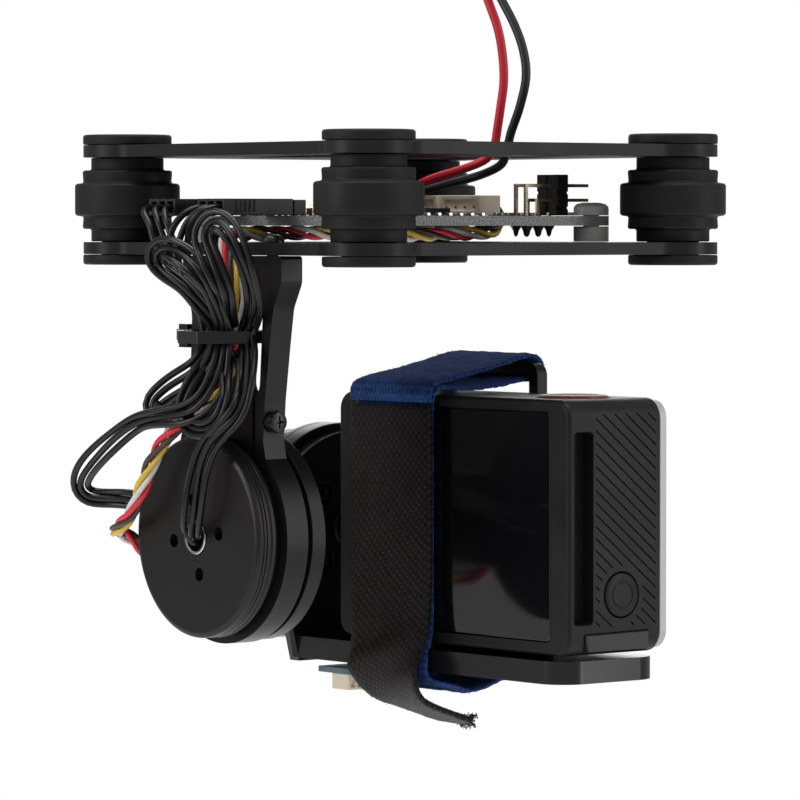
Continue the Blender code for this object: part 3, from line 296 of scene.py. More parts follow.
def make_world():
    """White for the lens, dimmer for the light that falls on the object."""
    world = bpy.data.worlds.new("studio")
    world.use_nodes = True
    nodes = world.node_tree.nodes
    links = world.node_tree.links
    backdrop = nodes["Background"]
    backdrop.inputs["Color"].default_value = (1, 1, 1, 1)
    backdrop.inputs["Strength"].default_value = 1
    fill = nodes.new("ShaderNodeBackground")
    fill.inputs["Color"].default_value = (1, 1, 1, 1)
    fill.inputs["Strength"].default_value = FILL
    path = nodes.new("ShaderNodeLightPath")
    mix = nodes.new("ShaderNodeMixShader")
    links.new(path.outputs["Is Camera Ray"], mix.inputs[0])
    links.new(fill.outputs[0], mix.inputs[1])
    links.new(backdrop.outputs[0], mix.inputs[2])
    links.new(mix.outputs[0], nodes["World Output"].inputs["Surface"])
    bpy.context.scene.world = world
    bpy.context.scene.view_settings.view_transform = "Standard"


def stage_disc(name, radius, segments, finish):
    """Round card of the studio set; it is not attached to any of the gimbal's bodies."""
    builder = bmesh.new()
    bmesh.ops.create_circle(builder, cap_ends=True, radius=radius, segments=segments)
    disc = meshed(name, builder)
    disc.data.materials.append(finish.material)
    return disc


def make_floor():
    floor = stage_disc("floor", 0.5, 96, Finish("pale_floor", (0.9, 0.9, 0.9), 0.6))
    floor.location = (0, 0, -0.2)


def make_flag():
    """Dark round card that only the display's mirror image shows."""
    middle = Vector((11.8, 1.8, -61.5))
    away = Vector((-0.776, -0.63, -0.02)).normalized()
    flag = stage_disc("flag", 0.027, 64, Finish("flag_black", (0.002, 0.002, 0.002), 0.5))
    flag.location = (middle + away * 300 + Vector((2, -1.6, 2.5))) * MM
    aim(flag, away, "Z")
    flag.visible_camera = False
    flag.visible_diffuse = False
    flag.visible_shadow = False


def make_lights():
    softbox("top_softbox", (0, 0, 0.75), (0.7, 0.7), 6)
    softbox("right_softbox", (0.62, 0.42, 0.12), (0.16, 0.7), 1.3)
    softbox("left_softbox", (-0.25, -0.8, 0.25), (0.2, 0.6), 2.4)
    softbox("back_softbox", (-0.6, 0.5, 0.25), (0.4, 0.6), 1.4)


# ---- materials


class Finish:
    """A Principled material and the nodes that give it grain."""

    def __init__(self, name, colour, roughness, metallic=0, specular=0.5):
        self.material = bpy.data.materials.new(name)
        self.material.use_nodes = True
        self.nodes = self.material.node_tree.nodes
        self.links = self.material.node_tree.links
        self.shader = self.nodes["Principled BSDF"]
        self.colour = colour
        self.set("Base Color", (*colour, 1))
        self.set("Roughness", roughness)
        self.set("Metallic", metallic)
        self.set("Specular IOR Level", specular)

    def feed(self, socket, value):
        """Link a socket to another node's output, or give it a plain value."""
        if isinstance(value, bpy.types.NodeSocket):
            self.links.new(value, socket)
        else:
            socket.default_value = value

    def set(self, name, value):
        self.feed(self.shader.inputs[name], value)
        return self

    def node(self, kind, inputs, **settings):
        made = self.nodes.new(f"ShaderNode{kind}")
        for key, value in settings.items():
            setattr(made, key, value)
        for key, value in inputs.items():
            self.feed(made.inputs[key], value)
        return made

    def place(self):
        found = self.nodes.get("place") or self.node("TexCoord", {}, name="place")
        return found.outputs["Object"]

    def noise(self, scale, detail):
        """Noise in object space; scale is in features per metre."""
        inputs = {"Vector": self.place(), "Scale": scale, "Detail": detail}
        return self.node("TexNoise", inputs).outputs["Fac"]

    def span(self, value, low, high, start=0.3, end=0.7):
        """Map a start to end value onto low to high."""
        inputs = {"Value": value, "From Min": start, "From Max": end, "To Min": low, "To Max": high}
        return self.node("MapRange", inputs).outputs["Result"]

    def blend_colour(self, value, dark, light):
        ramp = self.node("ValToRGB", {"Fac": value})
        for element, position, colour in zip(ramp.color_ramp.elements, (0.35, 0.65), (dark, light)):
            element.position = position
            element.color = (*colour, 1)
        return self.set("Base Color", ramp.outputs["Color"])

    def mottle(self, value, amount):
        dark = [c * (1 - amount) for c in self.colour]
        light = [min(1, c * (1 + amount)) for c in self.colour]
        return self.blend_colour(value, dark, light)

    def rough(self, value, low, high):
        return self.set("Roughness", self.span(value, low, high))

    def bump(self, value, height, strength=1):
        """Bump whose height is in metres."""
        bump = self.node("Bump", {"Height": value, "Distance": height, "Strength": strength})
        return self.set("Normal", bump.outputs["Normal"])

    def math(self, operation, *values):
        return self.node("Math", dict(enumerate(values)), operation=operation).outputs[0]

    def axes(self, source):
        return self.node("SeparateXYZ", {0: source}).outputs

    def uv(self):
        return self.axes(self.node("UVMap", {}, uv_map="cloth").outputs["UV"])


def grained(name, colour, roughness, metallic=0, specular=0.5, grain=2500, height=4e-6, mottle=0.12):
    """Moulded or blasted surface: fine grain, slight mottling and uneven gloss."""
    made = Finish(name, colour, roughness, metallic, specular)
    fine = made.noise(grain, 2)
    broad = made.noise(90, 4)
    made.mottle(broad, mottle)
    made.rough(broad, roughness * 0.85, min(1, roughness * 1.15))
    made.bump(fine, height)
    return made


def turned_metal(name, colour, roughness, axis, centre):
    """Lathe-turned metal with faint rings about an axis through centre."""
    made = Finish(name, colour, roughness, 0.5)
    x, y, z = made.axes(made.place())
    squares = []
    for value, offset in zip((x, z) if axis == "Y" else (y, z), centre):
        shifted = made.math("SUBTRACT", value, offset * MM)
        squares.append(made.math("MULTIPLY", shifted, shifted))
    radius = made.math("SQRT", made.math("ADD", *squares))
    inputs = {"W": radius, "Scale": 6000, "Detail": 2}
    rings = made.node("TexNoise", inputs, noise_dimensions="1D").outputs["Fac"]
    made.mottle(made.noise(60, 3), 0.1)
    made.rough(rings, roughness * 0.85, roughness * 1.2)
    made.bump(rings, 1.2e-6)
    return made


# Name, colour, roughness, metallic, specular, grain per metre, grain height, mottling
GRAINED = {
    "anodised": ("anodised_satin", (0.0085, 0.0083, 0.008), 0.34, 0, 0.28, 4000, 3e-6),
    "plate": ("anodised_plate", (0.0095, 0.0092, 0.009), 0.42, 0, 0.3, 4000, 3e-6),
    "tray": ("anodised_gloss", (0.008, 0.008, 0.008), 0.22, 0, 0.5, 3000, 2e-6),
    "rubber": ("damper_rubber", (0.0085, 0.0085, 0.009), 0.55, 0, 0.27, 1800, 8e-6, 0.2),
    "plastic": ("black_plastic", (0.011, 0.011, 0.012), 0.4, 0, 0.5, 3000, 3e-6),
    "chip": ("chip_plastic", (0.02, 0.02, 0.021), 0.5, 0, 0.5, 6000, 3e-6),
    "beige": ("socket_nylon", (0.86, 0.74, 0.58), 0.45, 0, 0.5, 2500, 3e-6, 0.06),
    "nylon": ("nylon_white", (0.74, 0.71, 0.66), 0.35, 0, 0.5, 2500, 3e-6, 0.05),
    "steel": ("black_oxide", (0.045, 0.045, 0.047), 0.32, 0.8, 0.5, 2500, 2e-6),
    "silver": ("turned_steel", (0.72, 0.72, 0.73), 0.2, 1, 0.5, 2500, 1e-6, 0.05),
    "solder": ("solder_grey", (0.3, 0.3, 0.31), 0.4, 0.8, 0.5, 2500, 3e-6),
    "gold": ("gold_pins", (0.82, 0.69, 0.48), 0.25, 1, 0.5, 2500, 1e-6, 0.08),
    "camera": ("camera_case", (0.0105, 0.0100, 0.0095), 0.44, 0, 0.24, 5000, 9e-6, 0.1),
    "cover": ("camera_cover", (0.5, 0.5, 0.5), 0.38, 0.25, 0.5, 4000, 4e-6, 0.05),
    "shutter": ("shutter_red", (0.15, 0.035, 0.03), 0.4, 0.1, 0.5, 2500, 3e-6),
    "lead": ("lead_black", (0.005, 0.005, 0.0055), 0.3, 0, 0.4, 1500, 5e-6),
    "tie": ("tie_nylon", (0.008, 0.008, 0.009), 0.22, 0, 0.5, 1500, 4e-6),
    "pale_fibre": ("loose_fibre_pale", (0.05, 0.11, 0.4), 0.8, 0, 0.2),
    "dark_fibre": ("loose_fibre_dark", (0.06, 0.06, 0.065), 0.8, 0, 0.2),
    "sensor_board": ("sensor_board_mask", (0.1, 0.16, 0.17), 0.35, 0, 0.5, 1500, 4e-6, 0.3),
}


def make_finishes():
    """Every finish, by name."""
    made = {key: grained(*row) for key, row in GRAINED.items()}
    made["nylon"].set("Subsurface Weight", 0.4).set("Subsurface Scale", 0.002)
    for colour, value in WIRE_COLOURS.items():
        made[colour] = grained(f"wire_{colour}", value, 0.36, 0, 0.5, 1500, 5e-6, 0.08)
    made["board_edge"] = make_board_edge()
    made["board"] = make_board_mask()
    made["gloss"] = Finish("display_gloss", (0.004, 0.004, 0.005), 0.07)
    made["gloss"].rough(made["gloss"].noise(70, 4), 0.05, 0.11)
    made["gloss"].set("Specular IOR Level", 1)
    made["glass"] = Finish("lens_glass", (0.01, 0.008, 0.02), 0.03)
    made["glass"].rough(made["glass"].noise(90, 2), 0.02, 0.05)
    made["glass"].set("Coat Weight", 1).set("Coat Tint", (0.75, 0.7, 1, 1))
    warm = (0.018, 0.017, 0.016)
    made["roll_motor"] = turned_metal("roll_motor_turned", warm, 0.36, "Y", (0, ROLL_Z))
    grey = (0.014, 0.014, 0.015)
    made["tilt_motor"] = turned_metal("tilt_motor_turned", grey, 0.3, "X", (TILT_Y, TILT_Z))
    made["loop"] = make_loop_cloth()
    made["hook"] = make_hook_cloth()
    return made


def make_board_edge():
    """Cut glass-fibre edge: grey with silvery specks."""
    made = Finish("board_glass_fibre", (0.3, 0.31, 0.3), 0.5)
    specks = made.noise(3800, 6)
    made.blend_colour(specks, (0.08, 0.085, 0.085), (0.6, 0.61, 0.6))
    made.rough(specks, 0.35, 0.6)
    made.bump(specks, 3e-5)
    return made


def make_board_mask():
    """Dark solder mask with raised copper tracks."""
    made = Finish("board_mask", (0.012, 0.02, 0.022), 0.3)
    inputs = {"Vector": made.place(), "Scale": 260, "Mortar Size": 0.06}
    tracks = made.node("TexBrick", inputs).outputs["Fac"]
    made.blend_colour(tracks, (0.01, 0.018, 0.02), (0.03, 0.055, 0.055))
    made.bump(tracks, 2e-5)
    return made


def make_loop_cloth():
    """Blue brushed loop tape: tangled pile over faint cross ribs."""
    made = Finish("strap_loop_pile", (0.008, 0.025, 0.14), 0.9, 0, 0.15)
    u, v, _ = made.uv()
    rib = made.math("SINE", made.math("MULTIPLY", u, 2 * math.pi / 1.25))
    stitch = made.math("SINE", made.math("MULTIPLY", v, 2 * math.pi / 0.9))
    knit = made.math("MULTIPLY", rib, made.math("ADD", stitch, 1))
    pile = made.noise(2600, 8)
    clumps = made.noise(420, 5)
    mixed = made.math("ADD", made.math("MULTIPLY", pile, 0.6), made.math("MULTIPLY", clumps, 0.4))
    mixed = made.math("ADD", mixed, made.math("MULTIPLY", knit, 0.06))
    made.blend_colour(mixed, (0.004, 0.016, 0.08), (0.034, 0.105, 0.36))
    made.bump(mixed, 9e-4, 0.9)
    made.set("Sheen Weight", 0.35).set("Sheen Roughness", 0.5).set("Sheen Tint", (0.3, 0.45, 1, 1))
    return made


def make_hook_cloth():
    """Black woven backing: staggered rows of raised knots, worn unevenly, with a painted glint on their
    tops.
    """
    made = Finish("strap_hook_weave", (0.01, 0.01, 0.01), 0.6, 0, 0.13)
    u, v, _ = made.uv()
    drift = made.math("MULTIPLY", made.noise(120, 2), 1.6)
    row = made.math("SINE", made.math("ADD", made.math("MULTIPLY", u, 2 * math.pi / 1.36), drift))
    column = made.math("SINE", made.math("ADD", made.math("MULTIPLY", v, 2 * math.pi / 1.45), drift))
    knots = made.span(made.math("MULTIPLY", row, column), 0.15, 0.85, 0, 1)
    # uneven wear of the knots, which also patches where their painted glint shows
    wear_and_glint_patches = made.span(made.noise(260, 3), 0.3, 0.7, 0.35, 1)
    fray = made.noise(2400, 4)
    height = made.math("MULTIPLY", knots, wear_and_glint_patches)
    height = made.math("ADD", height, made.math("MULTIPLY", fray, 0.5))
    # painted glint: the colour grows lighter with the knots' height, in place of their shine
    painted_glint = made.span(height, 0.1, 1.3, 0, 1)
    made.blend_colour(painted_glint, (0.0012, 0.0012, 0.0012), (0.026, 0.024, 0.022))
    made.rough(fray, 0.4, 0.7)
    made.bump(height, 2.4e-4)
    return made


# ---- shapes


def meshed(name, builder):
    """Turn a bmesh into a named object as it stands."""
    mesh = bpy.data.meshes.new(name)
    builder.to_mesh(mesh)
    builder.free()
    return added(name, mesh)


def new_object(name, builder):
    """Turn a bmesh in millimetres into a named object in metres."""
    bmesh.ops.scale(builder, vec=(MM, MM, MM), verts=builder.verts)
    bmesh.ops.recalc_face_normals(builder, faces=builder.faces)
    return meshed(name, builder)


def along(axis, u, v, w):
    """Point at (u, v) across an axis and w along it."""
    return {"X": (w, u, v), "Y": (u, w, v), "Z": (u, v, w)}[axis]


def arc(u, v, radius, start, end, steps):
    """Points on an arc, both of its ends included."""
    points = []
    for step in range(steps + 1):
        angle = start + (end - start) * step / steps
        points.append((u + radius * math.cos(angle), v + radius * math.sin(angle)))
    return points


def four_round(u, v, radius, start):
    """Four places a quarter turn apart, the first at an angle in degrees."""
    return arc(u, v, radius, math.radians(start), math.radians(start + 360), 4)[:-1]


def bridge(builder, one, two, closed=True):
    """Faces between two rows of vertices."""
    for index in range(len(one) if closed else len(one) - 1):
        turn = (index + 1) % len(one)
        builder.faces.new((one[index], one[turn], two[turn], two[index]))


def circle(u, v, radius, steps=48):
    return arc(u, v, radius, 0, 2 * math.pi, steps)[:-1]


def about(middle, half):
    return (middle - half, middle + half)


def rectangle(u_low, u_high, v_low, v_high):
    return [(u_low, v_low), (u_high, v_low), (u_high, v_high), (u_low, v_high)]


def corner_arc(before, corner, after, radius, steps):
    """Arc that rounds one corner; an almost straight corner stays as it is."""
    to_before = (before - corner).normalized()
    to_after = (after - corner).normalized()
    half = to_before.angle(to_after) / 2
    if half > math.pi / 2 - 0.02:
        return [corner]
    centre = corner + (to_before + to_after).normalized() * (radius / math.sin(half))
    reach = radius / math.tan(half)
    start = corner + to_before * reach - centre
    end = corner + to_after * reach - centre
    turn = math.atan2(start.x * end.y - start.y * end.x, start.dot(end))
    rounded = []
    for step in range(steps + 1):
        angle = turn * step / steps
        x = start.x * math.cos(angle) - start.y * math.sin(angle)
        y = start.x * math.sin(angle) + start.y * math.cos(angle)
        rounded.append(centre + Vector((x, y)))
    return rounded


def rounded(points, radii, steps=8):
    """Outline whose corners are arcs; a radius of 0 leaves a corner sharp."""
    if not isinstance(radii, (list, tuple)):
        radii = [radii] * len(points)
    corners = [Vector(point) for point in points]
    outline = []
    for index, corner in enumerate(corners):
        if radii[index] == 0:
            outline.append(corner)
            continue
        before = corners[index - 1]
        after = corners[(index + 1) % len(corners)]
        outline.extend(corner_arc(before, corner, after, radii[index], steps))
    return outline


def prism(name, outline, axis, low, high):
    builder = bmesh.new()
    lower = [builder.verts.new(along(axis, u, v, low)) for u, v in outline]
    upper = [builder.verts.new(along(axis, u, v, high)) for u, v in outline]
    builder.faces.new(lower)
    builder.faces.new(upper)
    bridge(builder, lower, upper)
    return new_object(name, builder)


def box(name, x, y, z):
    return prism(name, rectangle(*x, *y), "Z", *z)


def turned(name, profile, axis, centre, segments):
    """Spin a closed profile of (radius, height) points; it is solid if it meets the axis."""
    builder = bmesh.new()
    rings = []
    for radius, height in profile:
        places = circle(*centre, radius, segments) if radius else [centre]
        rings.append([builder.verts.new(along(axis, u, v, height)) for u, v in places])
    pairs = list(zip(rings, rings[1:]))
    if len(rings[0]) > 1:
        pairs.append((rings[-1], rings[0]))
    for ring, other in pairs:
        if len(ring) > 1 and len(other) > 1:
            bridge(builder, ring, other)
            continue
        rim, tip = (other, ring[0]) if len(ring) == 1 else (ring, other[0])
        for index in range(segments):
            builder.faces.new((rim[index], rim[(index + 1) % segments], tip))
    return new_object(name, builder)


def apply(target, change):
    """Bake one modifier into its object's mesh."""
    bpy.context.view_layer.update()
    with bpy.context.temp_override(object=target, active_object=target):
        bpy.ops.object.modifier_apply(modifier=change.name)


def combine(target, tool, operation):
    change = target.modifiers.new(operation.lower(), "BOOLEAN")
    change.operation = operation
    change.solver = "EXACT"
    change.object = tool
    apply(target, change)
    bpy.data.objects.remove(tool)
    return target


def cut(target, *tools):
    for tool in tools:
        combine(target, tool, "DIFFERENCE")
    return target


def join(target, *others):
    for other in others:
        combine(target, other, "UNION")
    return target


def punch(target, outline, axis, low, high):
    """Cut an outline's prism away."""
    return cut(target, prism("punch", outline, axis, low, high))


def cut_boxes(target, *boxes):
    """Cut away boxes, each given as its x, y and z spans."""
    return cut(target, *[box("gap", *spans) for spans in boxes])


def drill(target, axis, centre, radius, low, high, steps=32):
    return punch(target, circle(*centre, radius, steps), axis, low, high)


def merged(name, parts):
    """Put separate closed parts into one object without a boolean."""
    builder = bmesh.new()
    for part in parts:
        builder.from_mesh(part.data)
        bpy.data.objects.remove(part)
    return meshed(name, builder)


def settle(made, finish, body, node, slot, bevel=0, segments=2, angle=32):
    """Give a new piece its finish, soft edges and body, and hide the CAD node it stands for.

    With several finishes, each face keeps the number of its own one.
    """
    numbers = [polygon.material_index for polygon in made.data.polygons]
    made.data.materials.clear()
    for name in [finish] if isinstance(finish, str) else finish:
        made.data.materials.append(FINISHES[name].material)
    for polygon, number in zip(made.data.polygons, numbers):
        polygon.material_index = number
    made.data.shade_smooth()
    made.data.set_sharp_from_angle(angle=math.radians(angle))
    if bevel:
        soft = made.modifiers.new("soft_edges", "BEVEL")
        soft.width = bevel * MM
        soft.segments = segments
        soft.limit_method = "ANGLE"
        soft.angle_limit = math.radians(angle)
        flat = made.modifiers.new("flat_faces", "WEIGHTED_NORMAL")
        flat.keep_sharp = True
    belong(made, body, node, slot)
    return made


def belong(made, body, node, slot):
    """Parent a piece to its body when it has one, and hide the CAD node it stands for; the slot is not
    used.
    """
    if body:
        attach(made, body)
    if node:
        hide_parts(node)


# ---- routes and leads


def distances(route):
    """How far along a route each of its points is."""
    lengths = [0]
    for start, end in zip(route, route[1:]):
        lengths.append(lengths[-1] + (end - start).length)
    return lengths


def locate(lengths, wanted):
    """The stretch that a distance falls in, and how far along that stretch it is."""
    at = bisect.bisect_left(lengths, wanted, 1, len(lengths) - 1) - 1
    return at, (wanted - lengths[at]) / (lengths[at + 1] - lengths[at])


def smooth_route(points, spacing=0.8):
    """Evenly spaced points on a smooth curve through the route's own points."""
    route = [Vector(point) for point in points]
    ends = [route[0] * 2 - route[1]] + route + [route[-1] * 2 - route[-2]]
    fine = []
    steps = 16
    for index in range(1, len(ends) - 2):
        a, b, c, d = ends[index - 1 : index + 3]
        for step in range(steps):
            t = step / steps
            bend = (2 * a - 5 * b + 4 * c - d) * t**2 + (3 * b - a - 3 * c + d) * t**3
            fine.append(b + ((c - a) * t + bend) / 2)
    fine.append(route[-1])
    lengths = distances(fine)
    count = max(4, round(lengths[-1] / spacing))
    spaced = []
    for step in range(count + 1):
        at, share = locate(lengths, lengths[-1] * step / count)
        spaced.append(fine[at].lerp(fine[at + 1], share))
    return spaced


def relaxed(points):
    """Smooth curve through the points, with its kinks evened out and its ends kept."""
    route = smooth_route(points)
    for _ in range(3):
        route[1:-1] = [(a + b * 2 + c) / 4 for a, b, c in zip(route, route[1:], route[2:])]
    return route


def tangents(route):
    found = []
    for index in range(len(route)):
        ahead = route[min(index + 1, len(route) - 1)]
        behind = route[max(index - 1, 0)]
        found.append((ahead - behind).normalized())
    return found


def framed(route):
    """Each point of a route, with two directions across it that don't twist."""
    runs = tangents(route)
    across = runs[0].orthogonal().normalized()
    for point, run in zip(route, runs):
        across = (across - run * across.dot(run)).normalized()
        yield point, across, run.cross(across)


def add_tube(builder, route, radius, sides=10):
    """Add a round tube with closed ends that follows a spaced route."""
    rings = []
    for point, across, other in framed(route):
        ring = []
        for side in range(sides):
            angle = 2 * math.pi * side / sides
            offset = across * math.cos(angle) + other * math.sin(angle)
            ring.append(builder.verts.new(point + offset * radius))
        rings.append(ring)
    for one, two in zip(rings, rings[1:]):
        bridge(builder, one, two)
    builder.faces.new(rings[0])
    builder.faces.new(rings[-1])


def key_weights(points, travelled):
    """How far along its key points, by number, each point of a smooth route is."""
    lengths = distances([Vector(point) for point in points])
    found = []
    for distance in travelled:
        at, share = locate(lengths, distance / travelled[-1] * lengths[-1])
        found.append(at + share)
    return found


def ribbon_wires(points, facing_keys, fan):
    """Centre lines of three wires moulded side by side.

    facing_keys gives the flat side's normal at some of the points, by index; it is blended
    between them. With fan, the wires spread out to the plug's pitch where the ribbon starts.
    """
    route = relaxed(points)
    runs = tangents(route)
    keys = sorted(facing_keys)
    travelled = distances(route)
    weights = key_weights(points, travelled)
    phase = points[1][0]
    wires = [[], [], []]
    for point, run, weight, distance in zip(route, runs, weights, travelled):
        after = next((key for key in keys if key >= weight), keys[-1])
        before = next((key for key in reversed(keys) if key <= weight), keys[0])
        share = 0 if after == before else (weight - before) / (after - before)
        facing = Vector(facing_keys[before]).lerp(Vector(facing_keys[after]), share)
        across = run.cross(facing).normalized()
        pitch = WIRE_PITCH
        if fan and distance < FAN_LENGTH:
            near = distance / FAN_LENGTH
            pitch += (PLUG_PITCH - WIRE_PITCH) * (1 - near * near * (3 - 2 * near))
        loose = min(
            1,
            abs(point.z - TIE_Z) / LOOSE_REACH,
            distance / FAN_LENGTH,
            (travelled[-1] - distance) / LOOSE_REACH,
        )
        pitch += loose * LOOSE_SPREAD * (0.5 + 0.5 * math.sin(distance * 0.23 + phase))
        outward = run.cross(across).normalized()
        for wire, side in zip(wires, (-1, 0, 1)):
            wander = loose * LOOSE_LIFT * math.sin(distance * 0.31 + side * 2.1 + phase)
            wire.append(point + across * (pitch * side) + outward * wander)
    return wires


def wires_object(name, wires, radius):
    """One object of several wires; each wire's faces keep the wire's own number."""
    builder = bmesh.new()
    for number, wire in enumerate(wires):
        before = len(builder.faces)
        add_tube(builder, wire, radius)
        builder.faces.ensure_lookup_table()
        for face in builder.faces[before:]:
            face.material_index = number
    return new_object(name, builder)


def twisted_wires(points, count, offset, turn_length):
    """Centre lines of loosely twisted wires round a route."""
    route = relaxed(points)
    wires = [[] for _ in range(count)]
    for (point, across, other), distance in zip(framed(route), distances(route)):
        for number, wire in enumerate(wires):
            angle = 2 * math.pi * (distance / turn_length + number / count)
            sway = 1 + 0.25 * math.sin(distance / 4.3 + number * 1.9)
            spread = (across * math.cos(angle) + other * math.sin(angle)) * (offset * sway)
            wire.append(point + spread)
    return wires


# ---- plates and dampers


def plate_outline():
    """Square plate with a round lobe at each damper, blended into the straight edges."""
    drop = PLATE_HALF - DAMPER_HALF
    rise = drop + LOBE_FILLET
    run = math.sqrt((LOBE_RADIUS + LOBE_FILLET) ** 2 - rise**2)
    blend = math.atan2(rise, run)
    quarter_turn = math.pi / 2
    fillet = (DAMPER_HALF - run, PLATE_HALF + LOBE_FILLET)
    concave = arc(*fillet, LOBE_FILLET, -quarter_turn, -blend, 10)
    lobe = arc(DAMPER_HALF, DAMPER_HALF, LOBE_RADIUS, math.pi - blend, blend - quarter_turn, 40)
    corner = concave + lobe[1:-1] + [(y, x) for x, y in reversed(concave)]
    outline = []
    for cosine, sine in ((1, 0), (0, -1), (-1, 0), (0, 1)):
        outline.extend([(x * cosine - y * sine, x * sine + y * cosine) for x, y in corner])
    return outline


def corners_of(half):
    return [(-half, -half), (half, -half), (half, half), (-half, half)]


def stadium(u, v, length, width):
    radius = width / 2
    reach = length / 2 - radius
    half = math.pi / 2
    right = arc(u + reach, v, radius, -half, half, 14)
    return right + arc(u - reach, v, radius, half, 3 * half, 14)


def make_plates():
    upper = prism("upper_plate_body", plate_outline(), "Z", -PLATE_THICKNESS, 0)
    for low, high in ((9, 24), (-24, -9)):
        punch(upper, rounded(rectangle(-14, 14, low, high), 4), "Z", -3, 1)
    for x in (-SLOT_X, SLOT_X):
        for y in (-SLOT_Y, SLOT_Y):
            punch(upper, stadium(x, y, *SLOT_SIZE), "Z", -3, 1)
    for centre in corners_of(DAMPER_HALF):
        drill(upper, "Z", centre, DAMPER_HOLE, -3, 1)
    settle(upper, "plate", UPPER, "upper_plate", "anodised_black", bevel=0.18)
    lower = prism("lower_plate_body", plate_outline(), "Z", LOWER_BOTTOM, LOWER_TOP)
    window = rounded(rectangle(-12, 12, -18, 18), 4)
    through = (LOWER_BOTTOM - 1, LOWER_TOP + 1)
    punch(lower, window, "Z", *through)
    for centre in corners_of(DAMPER_HALF):
        drill(lower, "Z", centre, DAMPER_HOLE, *through)
    for x in HANGER_SCREW_X:
        drill(lower, "Z", (x, HANGER_SCREW_Y), PILOT_RADIUS, *through)
    settle(lower, "plate", LOWER, "lower_plate", "anodised_black", bevel=0.18)


def make_dampers():
    """Stepped rubber balls held by a neck and a flange through each plate."""
    corners = [
        (1.6, 1.75, 0.3), (7.35, 1.75, 0.5), (7.35, 0.1, 0.25), (4.2, 0.1, 0.2),
        (4.2, -2.1, 0.2), (6, -2.1, 0.2), (6, -4.15, 0.35), (7.45, -4.15, 0.4),
        (7.3, -6.2, 0.3), (8.7, -6.4, 0.55), (8.7, -11.6, 0.55), (7.3, -11.8, 0.3),
        (7.45, -13.85, 0.4), (6, -13.85, 0.35), (6, -15.9, 0.2), (4.2, -15.9, 0.2),
        (4.2, -18.1, 0.2), (7.35, -18.1, 0.25), (7.35, -19.75, 0.5), (1.6, -19.75, 0.3),
    ]
    outline = rounded([corner[:2] for corner in corners], [corner[2] for corner in corners], 5)
    profile = [tuple(point) for point in outline]
    for name, (x, y) in zip(QUARTERS, corners_of(DAMPER_HALF)):
        ball = turned(f"damper_{name}_rubber", profile, "Z", (x, y), 80)
        settle(ball, "rubber", None, f"damper_{name}", "damper_rubber", angle=50)
        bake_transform(ball)


# ---- electronics


def make_board():
    outline = rounded(corners_of(BOARD_HALF), 1.5)
    board = prism("controller_board_laminate", outline, "Z", BOARD_BOTTOM, BOARD_TOP)
    for centre in corners_of(POST_HALF):
        drill(board, "Z", centre, 1.6, BOARD_BOTTOM - 1, BOARD_TOP + 1)
    for polygon in board.data.polygons:
        polygon.material_index = 0 if abs(polygon.normal.z) > 0.5 else 1
    settle(board, ["board", "board_edge"], LOWER, "controller_board", "circuit_board", angle=40)
    tin = [box("joint", about(x, 0.45), about(y, 0.35), (SEAT - 0.1, SEAT + 0.45))
           for x, y in solder_places()]
    settle(merged("surface_parts", tin), "silver", LOWER, None, "screw_steel", bevel=0.08)


def solder_places():
    """Rows of small surface parts between the chips and along the board's edges."""
    places = []
    for step in range(9):
        places.append((-20 + step * 1.7, -17))
        places.append((4 + step * 1.7, -17.6))
    for step in range(7):
        places.append((18, -11 + step * 2.3))
        places.append((-19.5, -12 + step * 2.3))
        places.append((9 + step * 1.5, 13.5))
    return places


def make_chip(name, x, y, node, legs):
    body = box(name, x, y, (SEAT + 0.15, SEAT + 1.2))
    settle(body, "chip", LOWER, node, "chip_black", bevel=0.12)
    pins = []
    for step in range(legs):
        share = (step + 0.5) / legs
        across = x[0] + (x[1] - x[0]) * share
        for edge, out in ((y[0], -1), (y[1], 1)):
            foot = sorted((edge, edge + out * 0.7))
            pins.append(box("leg", about(across, 0.14), foot, (SEAT - 0.05, SEAT + 0.35)))
    settle(merged(f"{name}_legs", pins), "silver", LOWER, None, "screw_steel")


def make_electronics():
    make_chip("processor_package", (-5, 5), (-3, 7), "processor_chip", 12)
    make_chip("driver_package_left", (-15, -8.5), (-14, -8.5), "driver_chip_left", 8)
    make_chip("driver_package_right", (5.5, 12), (-14, -8.5), "driver_chip_right", 8)
    for name, node, (low, high), ways in (
        ("sensor_socket_shell", "sensor_socket", (-11.6, -1.4), 4),
        ("spare_socket_shell", "spare_socket", (-17.6, -12.6), 2),
    ):
        shell = box(name, (low, high), (18.5, 23.2), (SEAT, -8.2))
        cut_boxes(
            shell,
            ((low + 0.6, high - 0.6), (20, 24), (SEAT + 0.7, -8.8)),
            ((low + 0.9, high - 0.9), (18, 18.9), (SEAT + 0.9, -8.9)),
            ((low + 1.6, high - 1.6), (22, 24), (-9, -8)),
        )
        settle(shell, "beige", LOWER, node, "socket_beige", bevel=0.12)
        pins = []
        for way in range(ways):
            x = low + 1.5 + (high - low - 3) * way / max(1, ways - 1)
            pins.append(box("pin", about(x, 0.25), (17.3, 18.3), (SEAT - 0.1, SEAT + 0.4)))
            pins.append(box("pin", about(x, 0.22), (18.6, 22.4), (-10.4, -10)))
        settle(merged(f"{node}_contacts", pins), "gold", LOWER, None, "shaft_silver")
    power = box("power_socket_shell", (-20, -13), (7.2, 13.8), (SEAT, -6.2))
    for y in (9.2, 11.8):
        cut_boxes(power, ((-14, -12), about(y, 1), (-9.3, -7.1)))
    for x in (-18.6, -16.9, -15.2):
        for span in ((6, 7.6), (13.4, 15)):
            cut_boxes(power, (about(x, 0.35), span, (SEAT + 0.8, -5)))
    settle(power, "plastic", LOWER, "power_socket", "black_plastic", bevel=0.15)
    make_receiver_header()
    for side, (low, high) in MOTOR_PLUGS.items():
        make_motor_plug(side, low, high)
    for name, (x, y) in zip(QUARTERS, corners_of(POST_HALF)):
        make_post(name, x, y)


